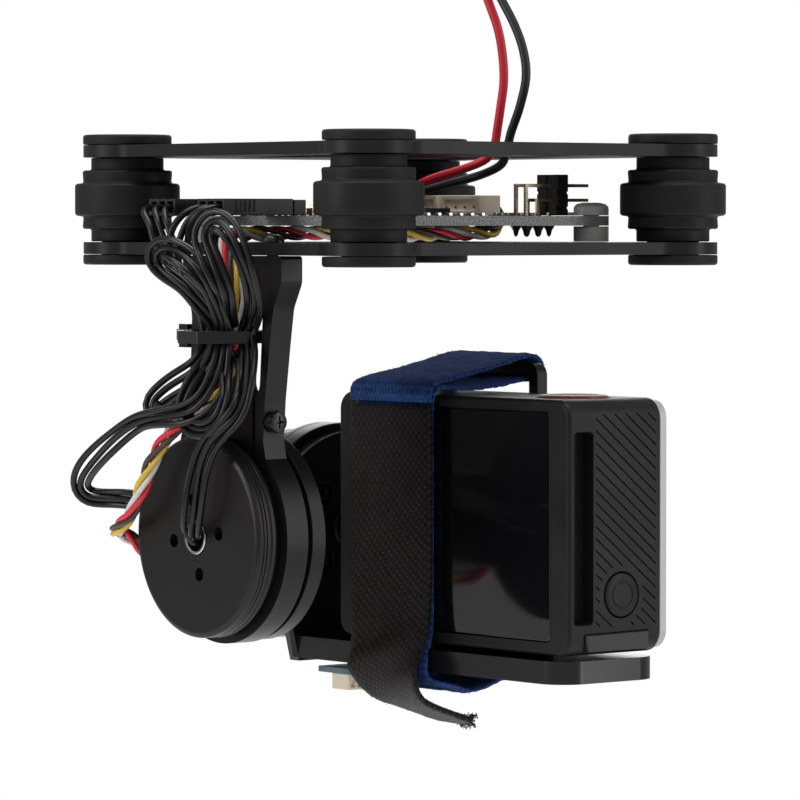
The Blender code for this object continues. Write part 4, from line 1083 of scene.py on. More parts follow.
def bent_pin(x, y_back, y_front, z_low, z_high, half=0.32):
    """Right-angle pin: a leg down to the board and a run out to the front."""
    leg = box("pin", about(x, half), about(y_back, half), (z_low, z_high + half))
    run = box("pin", about(x, half), (y_back - half, y_front), about(z_high, half))
    return join(leg, run)


def make_receiver_header():
    """Black header of two columns of three right-angle pins."""
    columns = (15.3, 17.8)
    header = box("receiver_header_body", (14, 19.1), (18, 20.5), (SEAT, -4.9))
    for span in ((17, 18.3), (20.2, 21.5)):
        cut_boxes(header, ((16.35, 16.75), span, (SEAT - 1, -4)))
    for z in (-7.9, -10.4):
        for span in ((13, 14.25), (18.85, 20)):
            cut_boxes(header, (span, (17, 21.5), about(z, 0.2)))
    settle(header, "plastic", LOWER, "receiver_header", "black_plastic", bevel=0.2, segments=3)
    pins = []
    joints = []
    for x in columns:
        for row, z in enumerate((-6.7, -9.1, -11.35)):
            y = 12.4 + 2.5 * row
            pins.append(bent_pin(x, y, 25.8, BOARD_TOP, z, 0.27))
            joints.append(solder_cone(x, y))
    settle(merged("receiver_pins", pins), "gold", LOWER, None, "shaft_silver", bevel=0.07)
    settle(merged("receiver_solder", joints), "solder", LOWER, None, "shaft_silver")


def solder_cone(x, y):
    """Solder that has run down a pin below the board."""
    low = BOARD_BOTTOM
    profile = [
        (0, low + 0.1), (0.95, low + 0.1), (0.9, low - 0.15), (0.5, low - 0.8), (0.34, low - 1.5),
        (0, low - 1.9),
    ]
    return turned("solder", profile, "Z", (x, y), 20)


def make_motor_plug(side, low, high):
    """Pin header on the board's edge and the three-way plug pushed on it."""
    columns = [low + 1.35 + PLUG_PITCH * way for way in range(3)]
    header = box(f"{side}_header_body", (low + 0.2, high - 0.2), (-24.3, -21.8), (SEAT, -9.1))
    settle(header, "plastic", LOWER, f"{side}_motor_header", "black_plastic", bevel=0.12)
    pins = [bent_pin(x, -19.6, -21.5, BOARD_TOP, -10.2) for x in columns]
    settle(merged(f"{side}_header_pins", pins), "gold", LOWER, None, "shaft_silver", bevel=0.06)
    plug = box(f"{side}_plug_body", (low, high), (PLUG_FRONT, -24.6), (SEAT, -8.95))
    for x in columns:
        cut_boxes(
            plug,
            (about(x, 0.75), (PLUG_FRONT - 1, -36.4), (-11.1, -9.4)),
            (about(x, 0.45), (-33, -28.2), (-9.3, -8)),
        )
    for left, right in zip(columns, columns[1:]):
        middle = (left + right) / 2
        cut_boxes(plug, (about(middle, 0.18), (PLUG_FRONT - 1, -23), (-9.2, -8)))
    for x in (low, high):
        for step in range(5):
            y = -36.2 + step * 0.9
            cut_boxes(plug, (about(x, 0.2), about(y, 0.18), (-11, -8)))
    settle(plug, "plastic", LOWER, f"{side}_motor_plug", "black_plastic", bevel=0.12)


def make_post(name, x, y):
    """Nylon spacer whose cross-slotted screw head clamps the board."""
    profile = [
        (0, -9.5), (1.6, -9.52), (2.4, -9.75), (2.85, -10.2), (2.9, -10.7), (2.9, SEAT),
        (1.3, SEAT), (1.3, BOARD_BOTTOM - 0.1), (2.9, BOARD_BOTTOM - 0.1), (2.9, -15.9), (0, -15.9),
    ]
    post = turned(f"board_post_{name}_nylon", profile, "Z", (x, y), 48)
    for dx, dy in ((1.7, 0.3), (0.3, 1.7)):
        cut_boxes(post, (about(x, dx), about(y, dy), (-10.4, -8)))
    settle(post, "nylon", LOWER, f"board_post_{name}", "nylon", bevel=0.08)


# ---- hanger and roll motor


def make_hanger():
    """Arm from the lower plate to the split ring that clamps the roll motor."""
    top = LOWER_BOTTOM - 0.1
    shape = [
        (-10.3, top), (-10.3, -22), (-7.8, -27.3), (-8.1, -34), (-8.8, -40), (-12.2, -52.5),
        (12.2, -52.5), (11, -47.6), (11.5, -41), (12.7, -32.6), (13.7, -26.4), (15.8, -22.4),
        (15.8, top),
    ]
    radii = [0.6, 3, 5, 0, 0, 0, 0, 0, 0, 0, 4, 3, 0.6]
    arm = prism("hanger_arm_body", rounded(shape, radii, 10), "Y", ARM_NEAR, ARM_FAR)
    join(arm, prism("ring", circle(0, ROLL_Z, RING_RADIUS, 120), "Y", ARM_NEAR, ARM_FAR))
    through = (ARM_NEAR - 1, ARM_FAR + 1)
    slot = [(3.6, -40.8), (10, -40.8), (11.2, -23.6), (4.7, -23.6)]
    punch(arm, rounded(slot, 2.6, 14), "Y", *through)
    punch(arm, rectangle(8.2, 8.9, -54, -40), "Y", *through)
    drill(arm, "Y", (0, ROLL_Z), RING_BORE, *through, 120)
    for x in HANGER_SCREW_X:
        drill(arm, "Z", (x, HANGER_SCREW_Y), PILOT_RADIUS, -23, top + 1)
    drill(arm, "X", CLAMP_SCREW_YZ, PILOT_RADIUS, 1, 14)
    drill(arm, "X", CLAMP_SCREW_YZ, 1.95, 10.9, 14, 40)
    settle(arm, "anodised", LOWER, "hanger_arm", "anodised_black", bevel=0.28, segments=3)


def hex_socket(axis, centre, radius, low, high):
    return prism("socket", circle(*centre, radius, 6), axis, low, high)


def cross_recess(y, z, x_low, x_high, reach=1.05, width=0.32):
    """Tapered cross recess cut along X."""
    half = width / 2
    upright = box("upright", (x_low, x_high), about(y, half), about(z, reach))
    level = box("level", (x_low, x_high), about(y, reach), about(z, half))
    core = turned("core", [(0, x_high), (0.6, x_high), (0, x_low - 0.3)], "X", (y, z), 24)
    return join(upright, level, core)


def make_screws():
    seat = LOWER_TOP
    for side, x in zip(("right", "left"), HANGER_SCREW_X):
        profile = [
            (0, seat + 1.4), (0.6, seat + 1.4), (1.1, seat + 1.32), (1.55, seat + 1.05),
            (1.85, seat + 0.6), (1.95, seat + 0.1), (0.95, seat + 0.1), (0.95, -22.5), (0, -22.5),
        ]
        screw = turned(f"hanger_screw_{side}_head", profile, "Z", (x, HANGER_SCREW_Y), 40)
        cut(screw, hex_socket("Z", (x, HANGER_SCREW_Y), 0.75, seat + 0.6, seat + 2))
        settle(screw, "steel", LOWER, f"hanger_screw_{side}", "screw_steel", bevel=0.05)
    profile = [
        (0, 12.9), (1.2, 12.9), (1.55, 12.75), (1.7, 12.4), (1.7, 11), (0.95, 11), (0.95, 1.6),
        (0, 1.6),
    ]
    clamp = turned("clamp_screw_head", profile, "X", CLAMP_SCREW_YZ, 48)
    cut(clamp, cross_recess(*CLAMP_SCREW_YZ, 12.1, 13.5))
    settle(clamp, "steel", LOWER, "clamp_screw", "screw_steel", bevel=0.05)


def make_roll_motor():
    """Rear cap, grooved housing and hollow shaft of the roll motor."""
    centre = (0, ROLL_Z)
    radius = MOTOR_RADIUS
    cap_profile = [
        (SHAFT_HOLE, -41.8), (3.8, -41.8), (3.9, -41.7), (4, -41.8), (4.1, -41.8), (15.1, -41.8),
        (15.3, -41.8), (15.75, -41.72), (16.1, -41.45), (radius, -41.1), (radius, -40.6),
        (16, -40.45), (radius, -40.3), (radius, -39.95), (SHAFT_HOLE, -39.95),
    ]
    cap = turned("roll_motor_rear_cap", cap_profile, "Y", centre, 128)
    for hole in four_round(0, ROLL_Z, 6, 8):
        drill(cap, "Y", hole, 1.1, -43, -40.4)
    settle(cap, "roll_motor", LOWER, "roll_motor_cap", "motor_grey")
    housing_profile = [
        (SHAFT_HOLE, -39.75), (radius, -39.75), (radius, -39.1), (16, -38.95), (radius, -38.8),
        (radius, -38.1), (16, -37.85), (15.1, -37.7), (15.1, -31.9), (SHAFT_HOLE, -31.9),
    ]
    housing = turned("roll_motor_case", housing_profile, "Y", centre, 128)
    settle(housing, "roll_motor", LOWER, "roll_motor_housing", "motor_grey", bevel=0.08)
    shaft_profile = [
        (SHAFT_BORE, -42), (2.4, -42.1), (2.65, -42.1), (SHAFT_RADIUS, -42),
        (SHAFT_RADIUS, -28), (SHAFT_BORE, -28),
    ]
    shaft = turned("roll_hollow_shaft", shaft_profile, "Y", centre, 64)
    settle(shaft, "silver", ROLL, "roll_shaft", "shaft_silver")


# ---- roll arm and tilt motor


def make_roll_arm():
    plan = [
        (-2, DISC_Y[0]), (-28, DISC_Y[0]), (ARM_OUTER_X, -16), (ARM_OUTER_X, TILT_Y),
        (ARM_INNER_X, TILT_Y), (ARM_INNER_X, -14.6), (-26.9, DISC_Y[1]), (-2, DISC_Y[1]),
    ]
    radii = [0, 8, 8, 0, 0, 5.5, 5.5, 0]
    middle = (ROLL_Z + TILT_Z) / 2
    arm = prism("roll_arm_body", rounded(plan, radii, 16), "Z", middle - 8, middle + 8)
    join(arm, prism("disc", circle(0, ROLL_Z, DISC_RADIUS, 120), "Y", *DISC_Y))
    join(arm, prism("end", circle(TILT_Y, TILT_Z, 16, 120), "X", ARM_OUTER_X, ARM_INNER_X))
    drill(arm, "Y", (0, ROLL_Z), SHAFT_HOLE, -33, -27, 48)
    drill(arm, "X", (TILT_Y, TILT_Z), SHAFT_HOLE, ARM_OUTER_X - 1, ARM_INNER_X + 1, 48)
    places = four_round(TILT_Y, TILT_Z, SCREW_RING, 45)
    for place in places:
        drill(arm, "X", place, 1.6, ARM_OUTER_X - 1, ARM_OUTER_X + 1.4)
    settle(arm, "anodised", ROLL, "roll_arm", "anodised_black", bevel=0.28, segments=3)
    face = ARM_OUTER_X
    profile = [
        (0, face + 0.1), (1.1, face + 0.15), (1.45, face + 0.4), (1.5, face + 1.3), (0, face + 1.3),
    ]
    heads = []
    for place in places:
        head = turned("head", profile, "X", place, 32)
        cut(head, hex_socket("X", place, 0.7, face - 1, face + 0.9))
        heads.append(head)
    settle(merged("stator_screw_heads", heads), "steel", ROLL, None, "screw_steel")


def make_tilt_motor():
    centre = (TILT_Y, TILT_Z)
    radius = MOTOR_RADIUS
    stator_profile = [
        (SHAFT_HOLE, -44.7), (16, -44.7), (radius, -44.5), (radius, -43), (16, -42.85),
        (radius, -42.7), (radius, -41.1), (15.9, -40.7), (15.3, -40.6), (15.3, -36.9),
        (SHAFT_HOLE, -36.9),
    ]
    stator = turned("tilt_motor_base", stator_profile, "X", centre, 128)
    settle(stator, "tilt_motor", ROLL, "tilt_motor_stator", "motor_grey", bevel=0.08)
    radius = ROTOR_RADIUS
    rotor_profile = [
        (SHAFT_HOLE, -36.6), (17.2, -36.6), (17.6, -36.4), (radius, -36), (radius, -34.9),
        (17.5, -34.75), (radius, -34.6), (radius, -31.5), (17.6, -31.1), (17.2, -30.9),
        (SHAFT_HOLE, -30.9),
    ]
    rotor = turned("tilt_motor_bell", rotor_profile, "X", centre, 128)
    settle(rotor, "tilt_motor", TILT, "tilt_motor_rotor", "motor_grey", bevel=0.08)
    shaft_profile = [
        (SHAFT_BORE, -47.6), (SHAFT_RADIUS, -47.6), (SHAFT_RADIUS, -27.1), (2.65, -27),
        (2.4, -27), (SHAFT_BORE, -27.1),
    ]
    shaft = turned("tilt_hollow_shaft", shaft_profile, "X", centre, 64)
    settle(shaft, "silver", TILT, "tilt_shaft", "shaft_silver")
    hub_profile = [
        (SHAFT_HOLE, -30.7), (4, -30.7), (4, -27.6), (3.85, -27.25), (3.55, -27.1),
        (SHAFT_HOLE, -27.1),
    ]
    hub = turned("tilt_hub_ring", hub_profile, "X", centre, 64)
    settle(hub, "tilt_motor", TILT, "tilt_hub", "motor_grey")


# ---- tray, lens frame and sensor


def make_tray():
    floor = rounded(rectangle(SIDE_PLATE_X[0] + 1, TRAY_END, *TRAY_Y), [0, 5, 5, 0], 16)
    tray = prism("camera_tray_body", floor, "Z", TRAY_BOTTOM, TRAY_TOP)
    top = arc(TILT_Y, TILT_Z, SIDE_PLATE_RADIUS, math.radians(195), math.radians(-15), 90)
    side = [(1, SIDE_PLATE_BOTTOM), *top, (2 * TILT_Y - 1, SIDE_PLATE_BOTTOM)]
    join(tray, prism("side", side, "X", *SIDE_PLATE_X))
    low = SIDE_PLATE_X[0] - 1
    high = SIDE_PLATE_X[1] + 1
    drill(tray, "X", (TILT_Y, TILT_Z), 4.2, low, high, 64)
    places = [(TILT_Y + dy, TILT_Z + dz) for dy, dz in corners_of(ROTOR_SCREW_OFFSET)]
    for place in places:
        drill(tray, "X", place, 1.8, low, high, 40)
    settle(tray, "tray", TILT, "camera_tray", "anodised_black", bevel=0.22, segments=3)
    heads = []
    for place in places:
        profile = [(0, -28.5), (1, -28.5), (1.5, -28.8), (1.6, -29.1), (1.6, -30.5), (0, -30.5)]
        head = turned("head", profile, "X", place, 40)
        cut(head, cross_recess(*place, -29.2, -27.5, 0.95, 0.3))
        heads.append(head)
    settle(merged("rotor_screw_heads", heads), "steel", TILT, None, "screw_steel")


def make_lens_frame():
    shape = [
        (-20, TRAY_BOTTOM), (10, TRAY_BOTTOM), (10, -43.6), (8, -42.6), (8, -36.2),
        (-18, -36.2), (-18, -42.6), (-20, -43.6),
    ]
    radii = [2, 2, 0.8, 0.8, 2.2, 2.2, 0.8, 0.8]
    plate = prism("lens_frame_body", rounded(shape, radii, 10), "Y", *LENS_FRAME_Y)
    cx, cz = LENS_CENTRE
    opening = rounded(rectangle(*about(cx, 12.2), *about(cz, 12.2)), 5, 12)
    slot = rounded(rectangle(-15.7, 5.8, -42, -38.3), 0.8, 6)
    for outline in (opening, slot):
        punch(plate, outline, "Y", 22, 27)
    settle(plate, "anodised", TILT, "lens_frame", "anodised_black", bevel=0.25, segments=3)


def make_sensor():
    board = box("tilt_sensor_laminate", (-26, -15), (3.5, 16.5), (-89.1, -88.1))
    settle(board, "sensor_board", TILT, "sensor_board", "circuit_board", bevel=0.08)
    shell = box("tilt_sensor_socket", (-23.5, -18.9), (4.5, 10.7), (-91.9, -89.2))
    for step in range(4):
        y = 5.4 + step * 1.45
        cut_boxes(shell, ((-19.4, -18), about(y, 0.4), (-91.4, -89.9)))
    settle(shell, "beige", TILT, "sensor_board_socket", "socket_beige", bevel=0.12)


# ---- strap


def point_at(points, at):
    low = min(int(at), len(points) - 2)
    return points[low].lerp(points[low + 1], at - low)


def evenly(points, count):
    return [point_at(points, index * (len(points) - 1) / (count - 1)) for index in range(count)]


def wave(*values):
    """Repeatable rough number from -1 to 1."""
    total = sum(value * factor for value, factor in zip(values, (12.9898, 78.233, 37.719)))
    rough = math.sin(total) * 43758.5453
    return 2 * (rough - math.floor(rough)) - 1


def cloth_band(name, near, far, thickness, ripple):
    """Tape between two edge routes, with its length and width in millimetres as UVs."""
    near_edge = smooth_route(near, 0.9)
    far_edge = smooth_route(far, 0.9)
    count = min(len(near_edge), len(far_edge))
    near_edge = evenly(near_edge, count)
    far_edge = evenly(far_edge, count)
    columns = 22
    builder = bmesh.new()
    layer = builder.loops.layers.uv.new("cloth")
    faces_uv = {}
    sheets = []
    normals = []
    lengths = distances(near_edge)
    for index in range(count):
        ahead = min(index + 1, count - 1)
        behind = max(index - 1, 0)
        run = near_edge[ahead] + far_edge[ahead] - near_edge[behind] - far_edge[behind]
        across = near_edge[index] - far_edge[index]
        normals.append(run.cross(across).normalized())
    for side in (1, -1):
        rows = []
        for index in range(count):
            row = []
            for column in range(columns + 1):
                share = column / columns
                round_off = 1 - 0.45 * max(0, abs(share - 0.5) * 2 - 0.88) / 0.12
                lift = thickness / 2 * side * round_off
                lift += ripple * side * wave(index * 0.37, column * 0.91, side)
                point = near_edge[index].lerp(far_edge[index], share) + normals[index] * lift
                vertex = builder.verts.new(point)
                faces_uv[vertex] = (lengths[index], share * STRAP_WIDTH)
                row.append(vertex)
            rows.append(row)
        sheets.append(rows)
    top, under = sheets
    for rows in sheets:
        for one, two in zip(rows, rows[1:]):
            bridge(builder, one, two, closed=False)
    for column in (0, columns):
        bridge(builder, [row[column] for row in top], [row[column] for row in under], closed=False)
    for index in (0, -1):
        bridge(builder, top[index], under[index], closed=False)
    for face in builder.faces:
        for loop in face.loops:
            loop[layer].uv = faces_uv[loop.vert]
    return new_object(name, builder), near_edge, far_edge, normals


def edge_fuzz(name, edges, normals, count, reach, seed):
    """Short loose fibres along the edges of a tape."""
    builder = bmesh.new()
    for number in range(count):
        edge = edges[number % len(edges)]
        other = edges[(number + 1) % len(edges)]
        at = (wave(number, seed, 1) + 1) / 2 * (len(edge) - 1.01)
        low = int(at)
        start = point_at(edge, at)
        inward = (other[low] - edge[low]).normalized()
        normal = normals[low]
        start = start + inward * (0.5 * (wave(number, seed, 2) + 1))
        start += normal * 0.35 * wave(number, seed, 3)
        lean = normal * wave(number, seed, 4) * 1.2 - inward * (0.7 + wave(number, seed, 5) * 0.6)
        lean += (edge[low + 1] - edge[low]).normalized() * wave(number, seed, 6)
        length = reach * (0.55 + 0.45 * wave(number, seed, 7))
        bend = Vector((wave(number, 8), wave(number, 9), wave(number, 10))) * length * 0.3
        tip = start + lean.normalized() * length
        middle = (start + tip) / 2 + bend
        add_tube(builder, [start, middle, tip], FIBRE_RADIUS, 3)
    return new_object(name, builder)


def frayed_end(name, near_edge, far_edge, normals, count):
    """Bent bristles that stand out of the cut end of the hook tape."""
    builder = bmesh.new()
    end = near_edge[-1]
    other = far_edge[-1]
    run = ((near_edge[-1] - near_edge[-3]) + (far_edge[-1] - far_edge[-3])).normalized()
    normal = normals[-1]
    across = (other - end).normalized()
    for number in range(count):
        share = (number + 0.5) / count
        start = end.lerp(other, share) - run * 0.5 * (1 + wave(number, 1))
        start += normal * 0.45 * wave(number, 2)
        side = normal * (0.9 * wave(number, 3)) + across * (0.8 * wave(number, 4))
        tip = start + (run + side).normalized() * (1.3 + 0.5 * wave(number, 5))
        bend = (start + tip) / 2 + side * 0.35
        hook = tip + (side - run * 0.6).normalized() * 0.4
        add_tube(builder, [start, bend, tip, hook], 0.09, 5)
    return new_object(name, builder)


def make_tape(name, edges, thickness, ripple, finish, node, slot, fibres):
    """One tape of the strap with its loose fibres; returns what frayed_end needs."""
    tape, near_edge, far_edge, normals = cloth_band(name, *edges, thickness, ripple)
    settle(tape, finish, TILT, node, slot, angle=180)
    length = distances(near_edge)[-1]
    fibre, count, reach, seed = fibres
    fuzz = edge_fuzz(f"{name}_fibres", (near_edge, far_edge), normals, count, reach, seed)
    settle(fuzz, fibre, TILT, None, slot, angle=180)
    return near_edge, far_edge, normals


def make_strap():
    """Brushed loop tape under, behind and over the camera, and its woven hook end."""
    near = []
    for y, z, forward, _ in STRAP_PATH:
        drawn_in = STRAP_BACK_PULL if y < 1.2 and z < -43 else 0
        near.append((STRAP_NEAR_X - STRAP_NEAR_SHIFT * forward - drawn_in, y, z))
    far = []
    for y, z, forward, lift in STRAP_PATH:
        far.append((STRAP_FAR_X - STRAP_FAR_SHIFT * forward, y, z + lift))
    make_tape(
        "strap_loop", (near, far), LOOP_THICKNESS, 0.1, "loop", "strap_loop_tape", "strap_blue",
        ("pale_fibre", 2400, 0.42, 3),
    )
    ends = make_tape(
        "strap_hook", (HOOK_NEAR, HOOK_FAR), HOOK_THICKNESS, 0.05, "hook", "strap_hook_tape",
        "strap_black", ("dark_fibre", 700, 0.7, 5),
    )
    bristles = frayed_end("strap_hook_bristles", *ends, 90)
    settle(bristles, "lead", TILT, None, "strap_black", angle=180)


# ---- leads


def lead_curve(name, points, radius):
    """A free lead as a bevelled poly curve."""
    route = smooth_route(points)
    curve = bpy.data.curves.new(name, "CURVE")
    curve.dimensions = "3D"
    spline = curve.splines.new("POLY")
    spline.points.add(len(route) - 1)
    for point, place in zip(spline.points, route):
        point.co = (*(place * MM), 1)
    curve.bevel_depth = radius * MM
    curve.bevel_resolution = 4
    curve.use_fill_caps = True
    return added(name, curve), route


def make_battery_leads():
    plug = box("battery_connector", (-0.8, 7.2), (12.2, 16.8), (34.3, 43.5))
    for x in (1.6, 4.8):
        cut_boxes(plug, (about(x, 1.1), (13.3, 15.7), (40, 44)))
        cut_boxes(plug, (about(x, 0.6), (11, 12.9), (36.2, 38.8)))
    for span in ((-1.6, -0.3), (6.7, 8.4)):
        cut_boxes(plug, (span, (11, 18), (37, 40.5)))
    for span in ((37, 37.4), (40.1, 40.5)):
        cut_boxes(plug, ((-1.6, 8.4), (11, 12.6), span))
    settle(plug, "red", LOWER, "battery_plug", "lead_red", bevel=0.25, segments=3)
    sides = (
        ("red", BATTERY_RED_ROUTE, "battery_lead_red", "lead_red"),
        ("black", BATTERY_BLACK_ROUTE, "battery_lead_black", "lead_black"),
    )
    for colour, points, node, slot in sides:
        lead, route = lead_curve(f"{node}_wire", points, BATTERY_LEAD_RADIUS)
        lead.data.materials.append(FINISHES[colour].material)
        belong(lead, LOWER, node, slot)
        distances(route)[-1] * MM


def make_motor_leads():
    """Two three-wire ribbons looped through the tie, and the coloured sensor wires behind them."""
    upright = {0: (0, 0, 1), 1: (0.05, -0.2, 1), 3: LENSWARD}
    ribbons = (
        ("roll_motor_ribbon", ROLL_RIBBON, upright, "roll_motor_lead", LOWER),
        ("tilt_motor_ribbon", TILT_RIBBON, upright, "tilt_motor_lead", LOWER),
        ("tilt_motor_ribbon_front", TILT_FRONT_RIBBON, {0: LENSWARD}, "tilt_lead_front", ROLL),
    )
    for name, points, start_facing, node, body in ribbons:
        facing = {**start_facing, len(points) - 1: LENSWARD}
        wires = ribbon_wires(points, facing, body == LOWER)
        made = wires_object(name, wires, WIRE_RADIUS)
        settle(made, ["lead"] * 3, body, node, "lead_black", angle=40)
    colours = ["red", "white", "yellow", "brown"]
    wires = twisted_wires(SENSOR_ROUTE, 4, 0.78, 17)
    upper = wires_object("sensor_wires_upper", wires, 0.46)
    settle(upper, colours, LOWER, "sensor_lead_upper", "lead_red", angle=40)
    parts = (
        ("sensor_wires_roll", SENSOR_ROLL_ROUTE, "sensor_lead_roll", LOWER, ROLL),
        ("sensor_wires_tilt", SENSOR_TILT_ROUTE, "sensor_lead_tilt", ROLL, TILT),
    )
    for name, points, node, before, after in parts:
        wires = twisted_wires(points, 4, 0.72, SENSOR_TWIST)
        made = wires_object(name, wires, 0.44)
        settle(made, colours, None, node, "lead_red", angle=40)
        start = tuple(Vector(points[0]) * MM)
        end = tuple(Vector(points[-1]) * MM)
        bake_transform(made)


def make_tie():
    """Ribbed band round the leads and the hanger's leg, with its head on the left."""
    inner = rounded(TIE_INNER, 0.7, 6)
    outer = rounded(TIE_OUTER, 0.9, 6)
    tie = prism("tie_band", outer, "Z", -32, -30)
    punch(tie, inner, "Z", -33, -29)
    head = box("head", (-11.3, -9), (-36.8, -33.6), (-33, -29.2))
    cut_boxes(head, ((-12, -10.7), (-36.1, -34.9), (-32, -30)))
    join(tie, head)
    tail = box("tail", (-13, -10.9), (-36, -35), (-31.9, -30.1))
    for step in range(4):
        x = -12.7 + step * 0.45
        cut_boxes(tail, (about(x, 0.1), (-37, -35.8), (-31.7, -30.3)))
    join(tie, tail)
    settle(tie, "tie", LOWER, "zip_tie", "black_plastic", bevel=0.12)
    clip = box("lead_clip_body", (-47.6, -45.1), (-8, -4), (-75.2, -72.1))
    cut_boxes(clip, ((-48, -47.1), (-9, -3), (-73.9, -73.3)))
    settle(clip, "plastic", ROLL, "lead_clip", "black_plastic", bevel=0.25, segments=3)


# ---- camera


def door_grooves():
    """Slanting shallow grooves over the side door, stopped short of its round button."""
    near = 7.5
    far = 20.4
    fall = 0.8
    button_y, button_z = SIDE_BUTTON_YZ
    cutters = []
    for number in range(25):
        start_z = -34.5 - number * 1.92
        points = []
        for step in range(131):
            y = near + (far - near) * step / 130
            z = start_z - fall * (y - near)
            inside = -77.6 < z < -43.4
            clear = math.hypot(y - button_y, z - button_z) > 4.7
            points.append((y, z, inside and clear))
        run = []
        for y, z, open_here in points + [(0, 0, False)]:
            if open_here:
                run.append((y, z))
                continue
            if len(run) > 5:
                (y0, z0), (y1, z1) = run[0], run[-1]
                outline = [(y0, z0 - 0.16), (y1, z1 - 0.16), (y1, z1 + 0.16), (y0, z0 + 0.16)]
                cutters.append(prism("groove", outline, "X", CAMERA_X[1] - 0.3, CAMERA_X[1] + 1))
            run = []
    return merged("door_grooves", cutters)


def make_camera_case():
    side = CAMERA_X[1]
    outline = rounded(rectangle(*CAMERA_X, CAMERA_BOTTOM, CAMERA_TOP), 3, 14)
    body = prism("camera_case", outline, "Y", CAMERA_BACK, CAMERA_SPLIT)
    edge = body.modifiers.new("round_back", "BEVEL")
    edge.width = 0.75 * MM
    edge.segments = 4
    edge.limit_method = "ANGLE"
    edge.angle_limit = math.radians(50)
    apply(body, edge)
    bezel = rounded(rectangle(-12.8, 36.3, -80.1, -43), 1, 8)
    punch(body, bezel, "Y", 0.8, 2.7)
    drill(body, "Z", SHUTTER_XY, 6.1, CAMERA_TOP - 2.3, CAMERA_TOP + 1, 64)
    drill(body, "X", SIDE_BUTTON_YZ, 3.8, side - 2.4, side + 1, 64)
    slot = rounded(rectangle(2.8, 7, -77.2, -46.2), 0.8, 6)
    punch(body, slot, "X", side - 2.6, side + 1)
    corners = [(5.6, -81.7), (4.7, -78.6), (18.9, -78.4), (18.9, -81.7)]
    latch = rounded(corners, [0.3, 0.6, 0.3, 0.3], 5)
    punch(body, latch, "X", side - 1, side + 1)
    drill(body, "Y", POWER_XZ, 4.9, CAMERA_SPLIT - 1.2, CAMERA_SPLIT + 1, 64)
    cut(body, door_grooves())
    settle(body, "camera", TILT, "camera_body", "camera_grey", bevel=0.1)


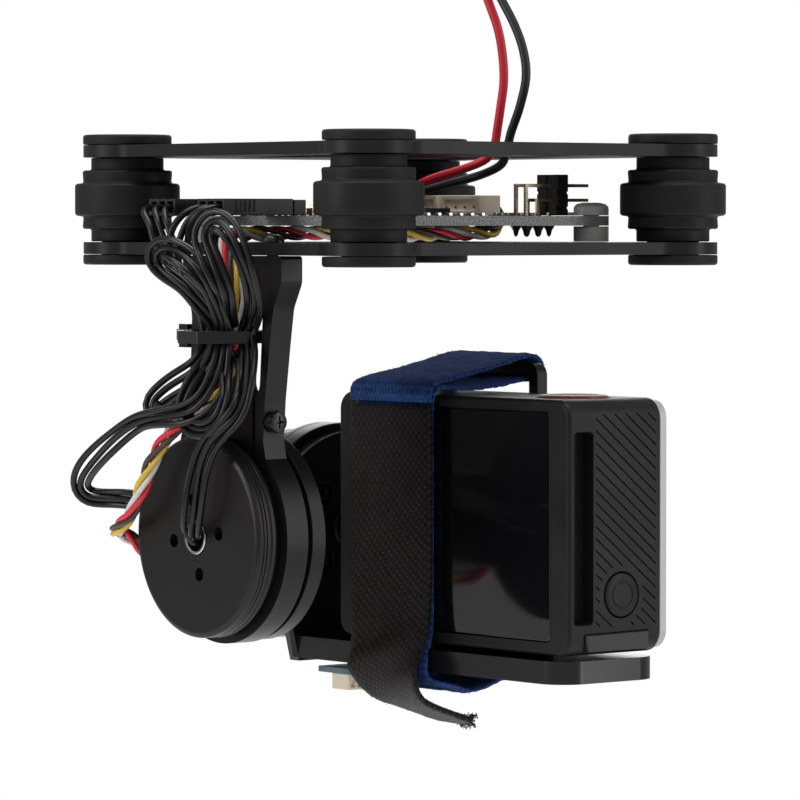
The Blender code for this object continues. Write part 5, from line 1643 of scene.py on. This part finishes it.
def make_camera_parts():
    side = CAMERA_X[1]
    shape = rectangle(CAMERA_X[0] + 0.4, side - 0.4, CAMERA_BOTTOM + 0.4, CAMERA_TOP - 0.4)
    front = prism("camera_front_cover", rounded(shape, 3, 14), "Y", CAMERA_SPLIT + 0.1, CAMERA_FRONT)
    drill(front, "Y", POWER_XZ, 4.8, CAMERA_SPLIT - 1, CAMERA_FRONT + 1, 64)
    window = rounded(rectangle(14.5, 25.5, -57, -47.5), 1.2, 6)
    punch(front, window, "Y", CAMERA_FRONT - 0.5, CAMERA_FRONT + 1)
    line = rectangle(9.4, 9.8, -83, -40)
    punch(front, line, "Y", CAMERA_FRONT - 0.3, CAMERA_FRONT + 1)
    settle(front, "cover", TILT, "camera_front", "camera_silver", bevel=0.3, segments=3)
    inner = rounded(rectangle(14.8, 25.2, -56.7, -47.8), 1, 6)
    pane = prism("status_window", inner, "Y", CAMERA_FRONT - 0.45, CAMERA_FRONT - 0.1)
    settle(pane, "gloss", TILT, None, "display_gloss", bevel=0.08)
    screen = rounded(rectangle(-12.6, 36.1, -79.9, -43.2), 0.9, 8)
    display = prism("camera_display_glass", screen, "Y", 1.85, 2.6)
    settle(display, "gloss", TILT, "camera_display", "display_gloss", bevel=0.12)
    cx, cz = LENS_CENTRE
    shell = rectangle(*about(cx, LENS_HALF), *about(cz, LENS_HALF))
    housing = prism("lens_surround", rounded(shell, 4.5, 14), "Y", CAMERA_FRONT + 0.1, 29.6)
    drill(housing, "Y", LENS_CENTRE, 8.4, 26.4, 31, 96)
    ring = turned("step", [(8, 29.1), (9.2, 29.1), (9.2, 31), (8, 31)], "Y", LENS_CENTRE, 96)
    cut(housing, ring)
    settle(housing, "plastic", TILT, "lens_housing", "black_plastic", bevel=0.35, segments=3)
    dome = [(0, 26.6), (8.1, 26.6)]
    dome += [(8.1 * u, 28.2 + 1.3 * v) for u, v in arc(0, 0, 1, 0, math.pi / 2, 12)[:-1]]
    dome.append((0, 29.5))
    glass = turned("lens_front_glass", dome, "Y", LENS_CENTRE, 96)
    settle(glass, "glass", TILT, "lens_glass", "display_gloss")
    corners = [(5.75, -81.5), (4.95, -78.8), (18.7, -78.6), (18.7, -81.5)]
    latch = rounded(corners, [0.25, 0.5, 0.25, 0.25], 5)
    bar = prism("side_latch_bar", latch, "X", side - 0.9, side + 0.4)
    settle(bar, "plastic", TILT, "side_latch", "black_plastic", bevel=0.25, segments=3)


def make_buttons():
    top = CAMERA_TOP + 0.5
    shutter_profile = [
        (0, top - 0.12), (4.3, top - 0.12), (4.5, top), (5.2, top), (5.6, top - 0.15), (5.8, top - 0.5),
        (5.8, top - 1.9), (0, top - 1.9),
    ]
    shutter = turned("shutter_cap", shutter_profile, "Z", SHUTTER_XY, 72)
    settle(shutter, "shutter", "shutter_button", "shutter_button", "shutter_red")
    face = CAMERA_X[1] + 0.2
    side_profile = [
        (0, face), (1.9, face), (2, face - 0.15), (2.25, face - 0.15), (2.35, face), (3.1, face),
        (3.45, face - 0.12), (3.55, face - 0.4), (3.55, face - 1.7), (0, face - 1.7),
    ]
    settings = turned("settings_cap", side_profile, "X", SIDE_BUTTON_YZ, 64)
    settle(settings, "camera", "settings_button", "settings_button", "black_plastic")
    front = CAMERA_FRONT + 0.3
    power_profile = [
        (0, front), (2.6, front), (2.7, front - 0.12), (2.95, front - 0.12), (3.05, front), (4, front),
        (4.4, front - 0.15), (4.5, front - 0.45), (4.5, front - 1.5), (0, front - 1.5),
    ]
    power = turned("power_cap", power_profile, "Y", POWER_XZ, 64)
    settle(power, "plastic", "power_button", "power_button", "black_plastic")


# ---- build


def main():
    make_camera()
    make_battery_leads()
    make_motor_leads()
    make_world()
    make_floor()
    make_lights()
    make_flag()
    make_plates()
    make_dampers()
    make_board()
    make_electronics()
    make_hanger()
    make_screws()
    make_roll_motor()
    make_roll_arm()
    make_tilt_motor()
    make_tray()
    make_lens_frame()
    make_sensor()
    make_camera_case()
    make_camera_parts()
    make_buttons()
    make_strap()
    make_tie()


FINISHES = make_finishes()
main()
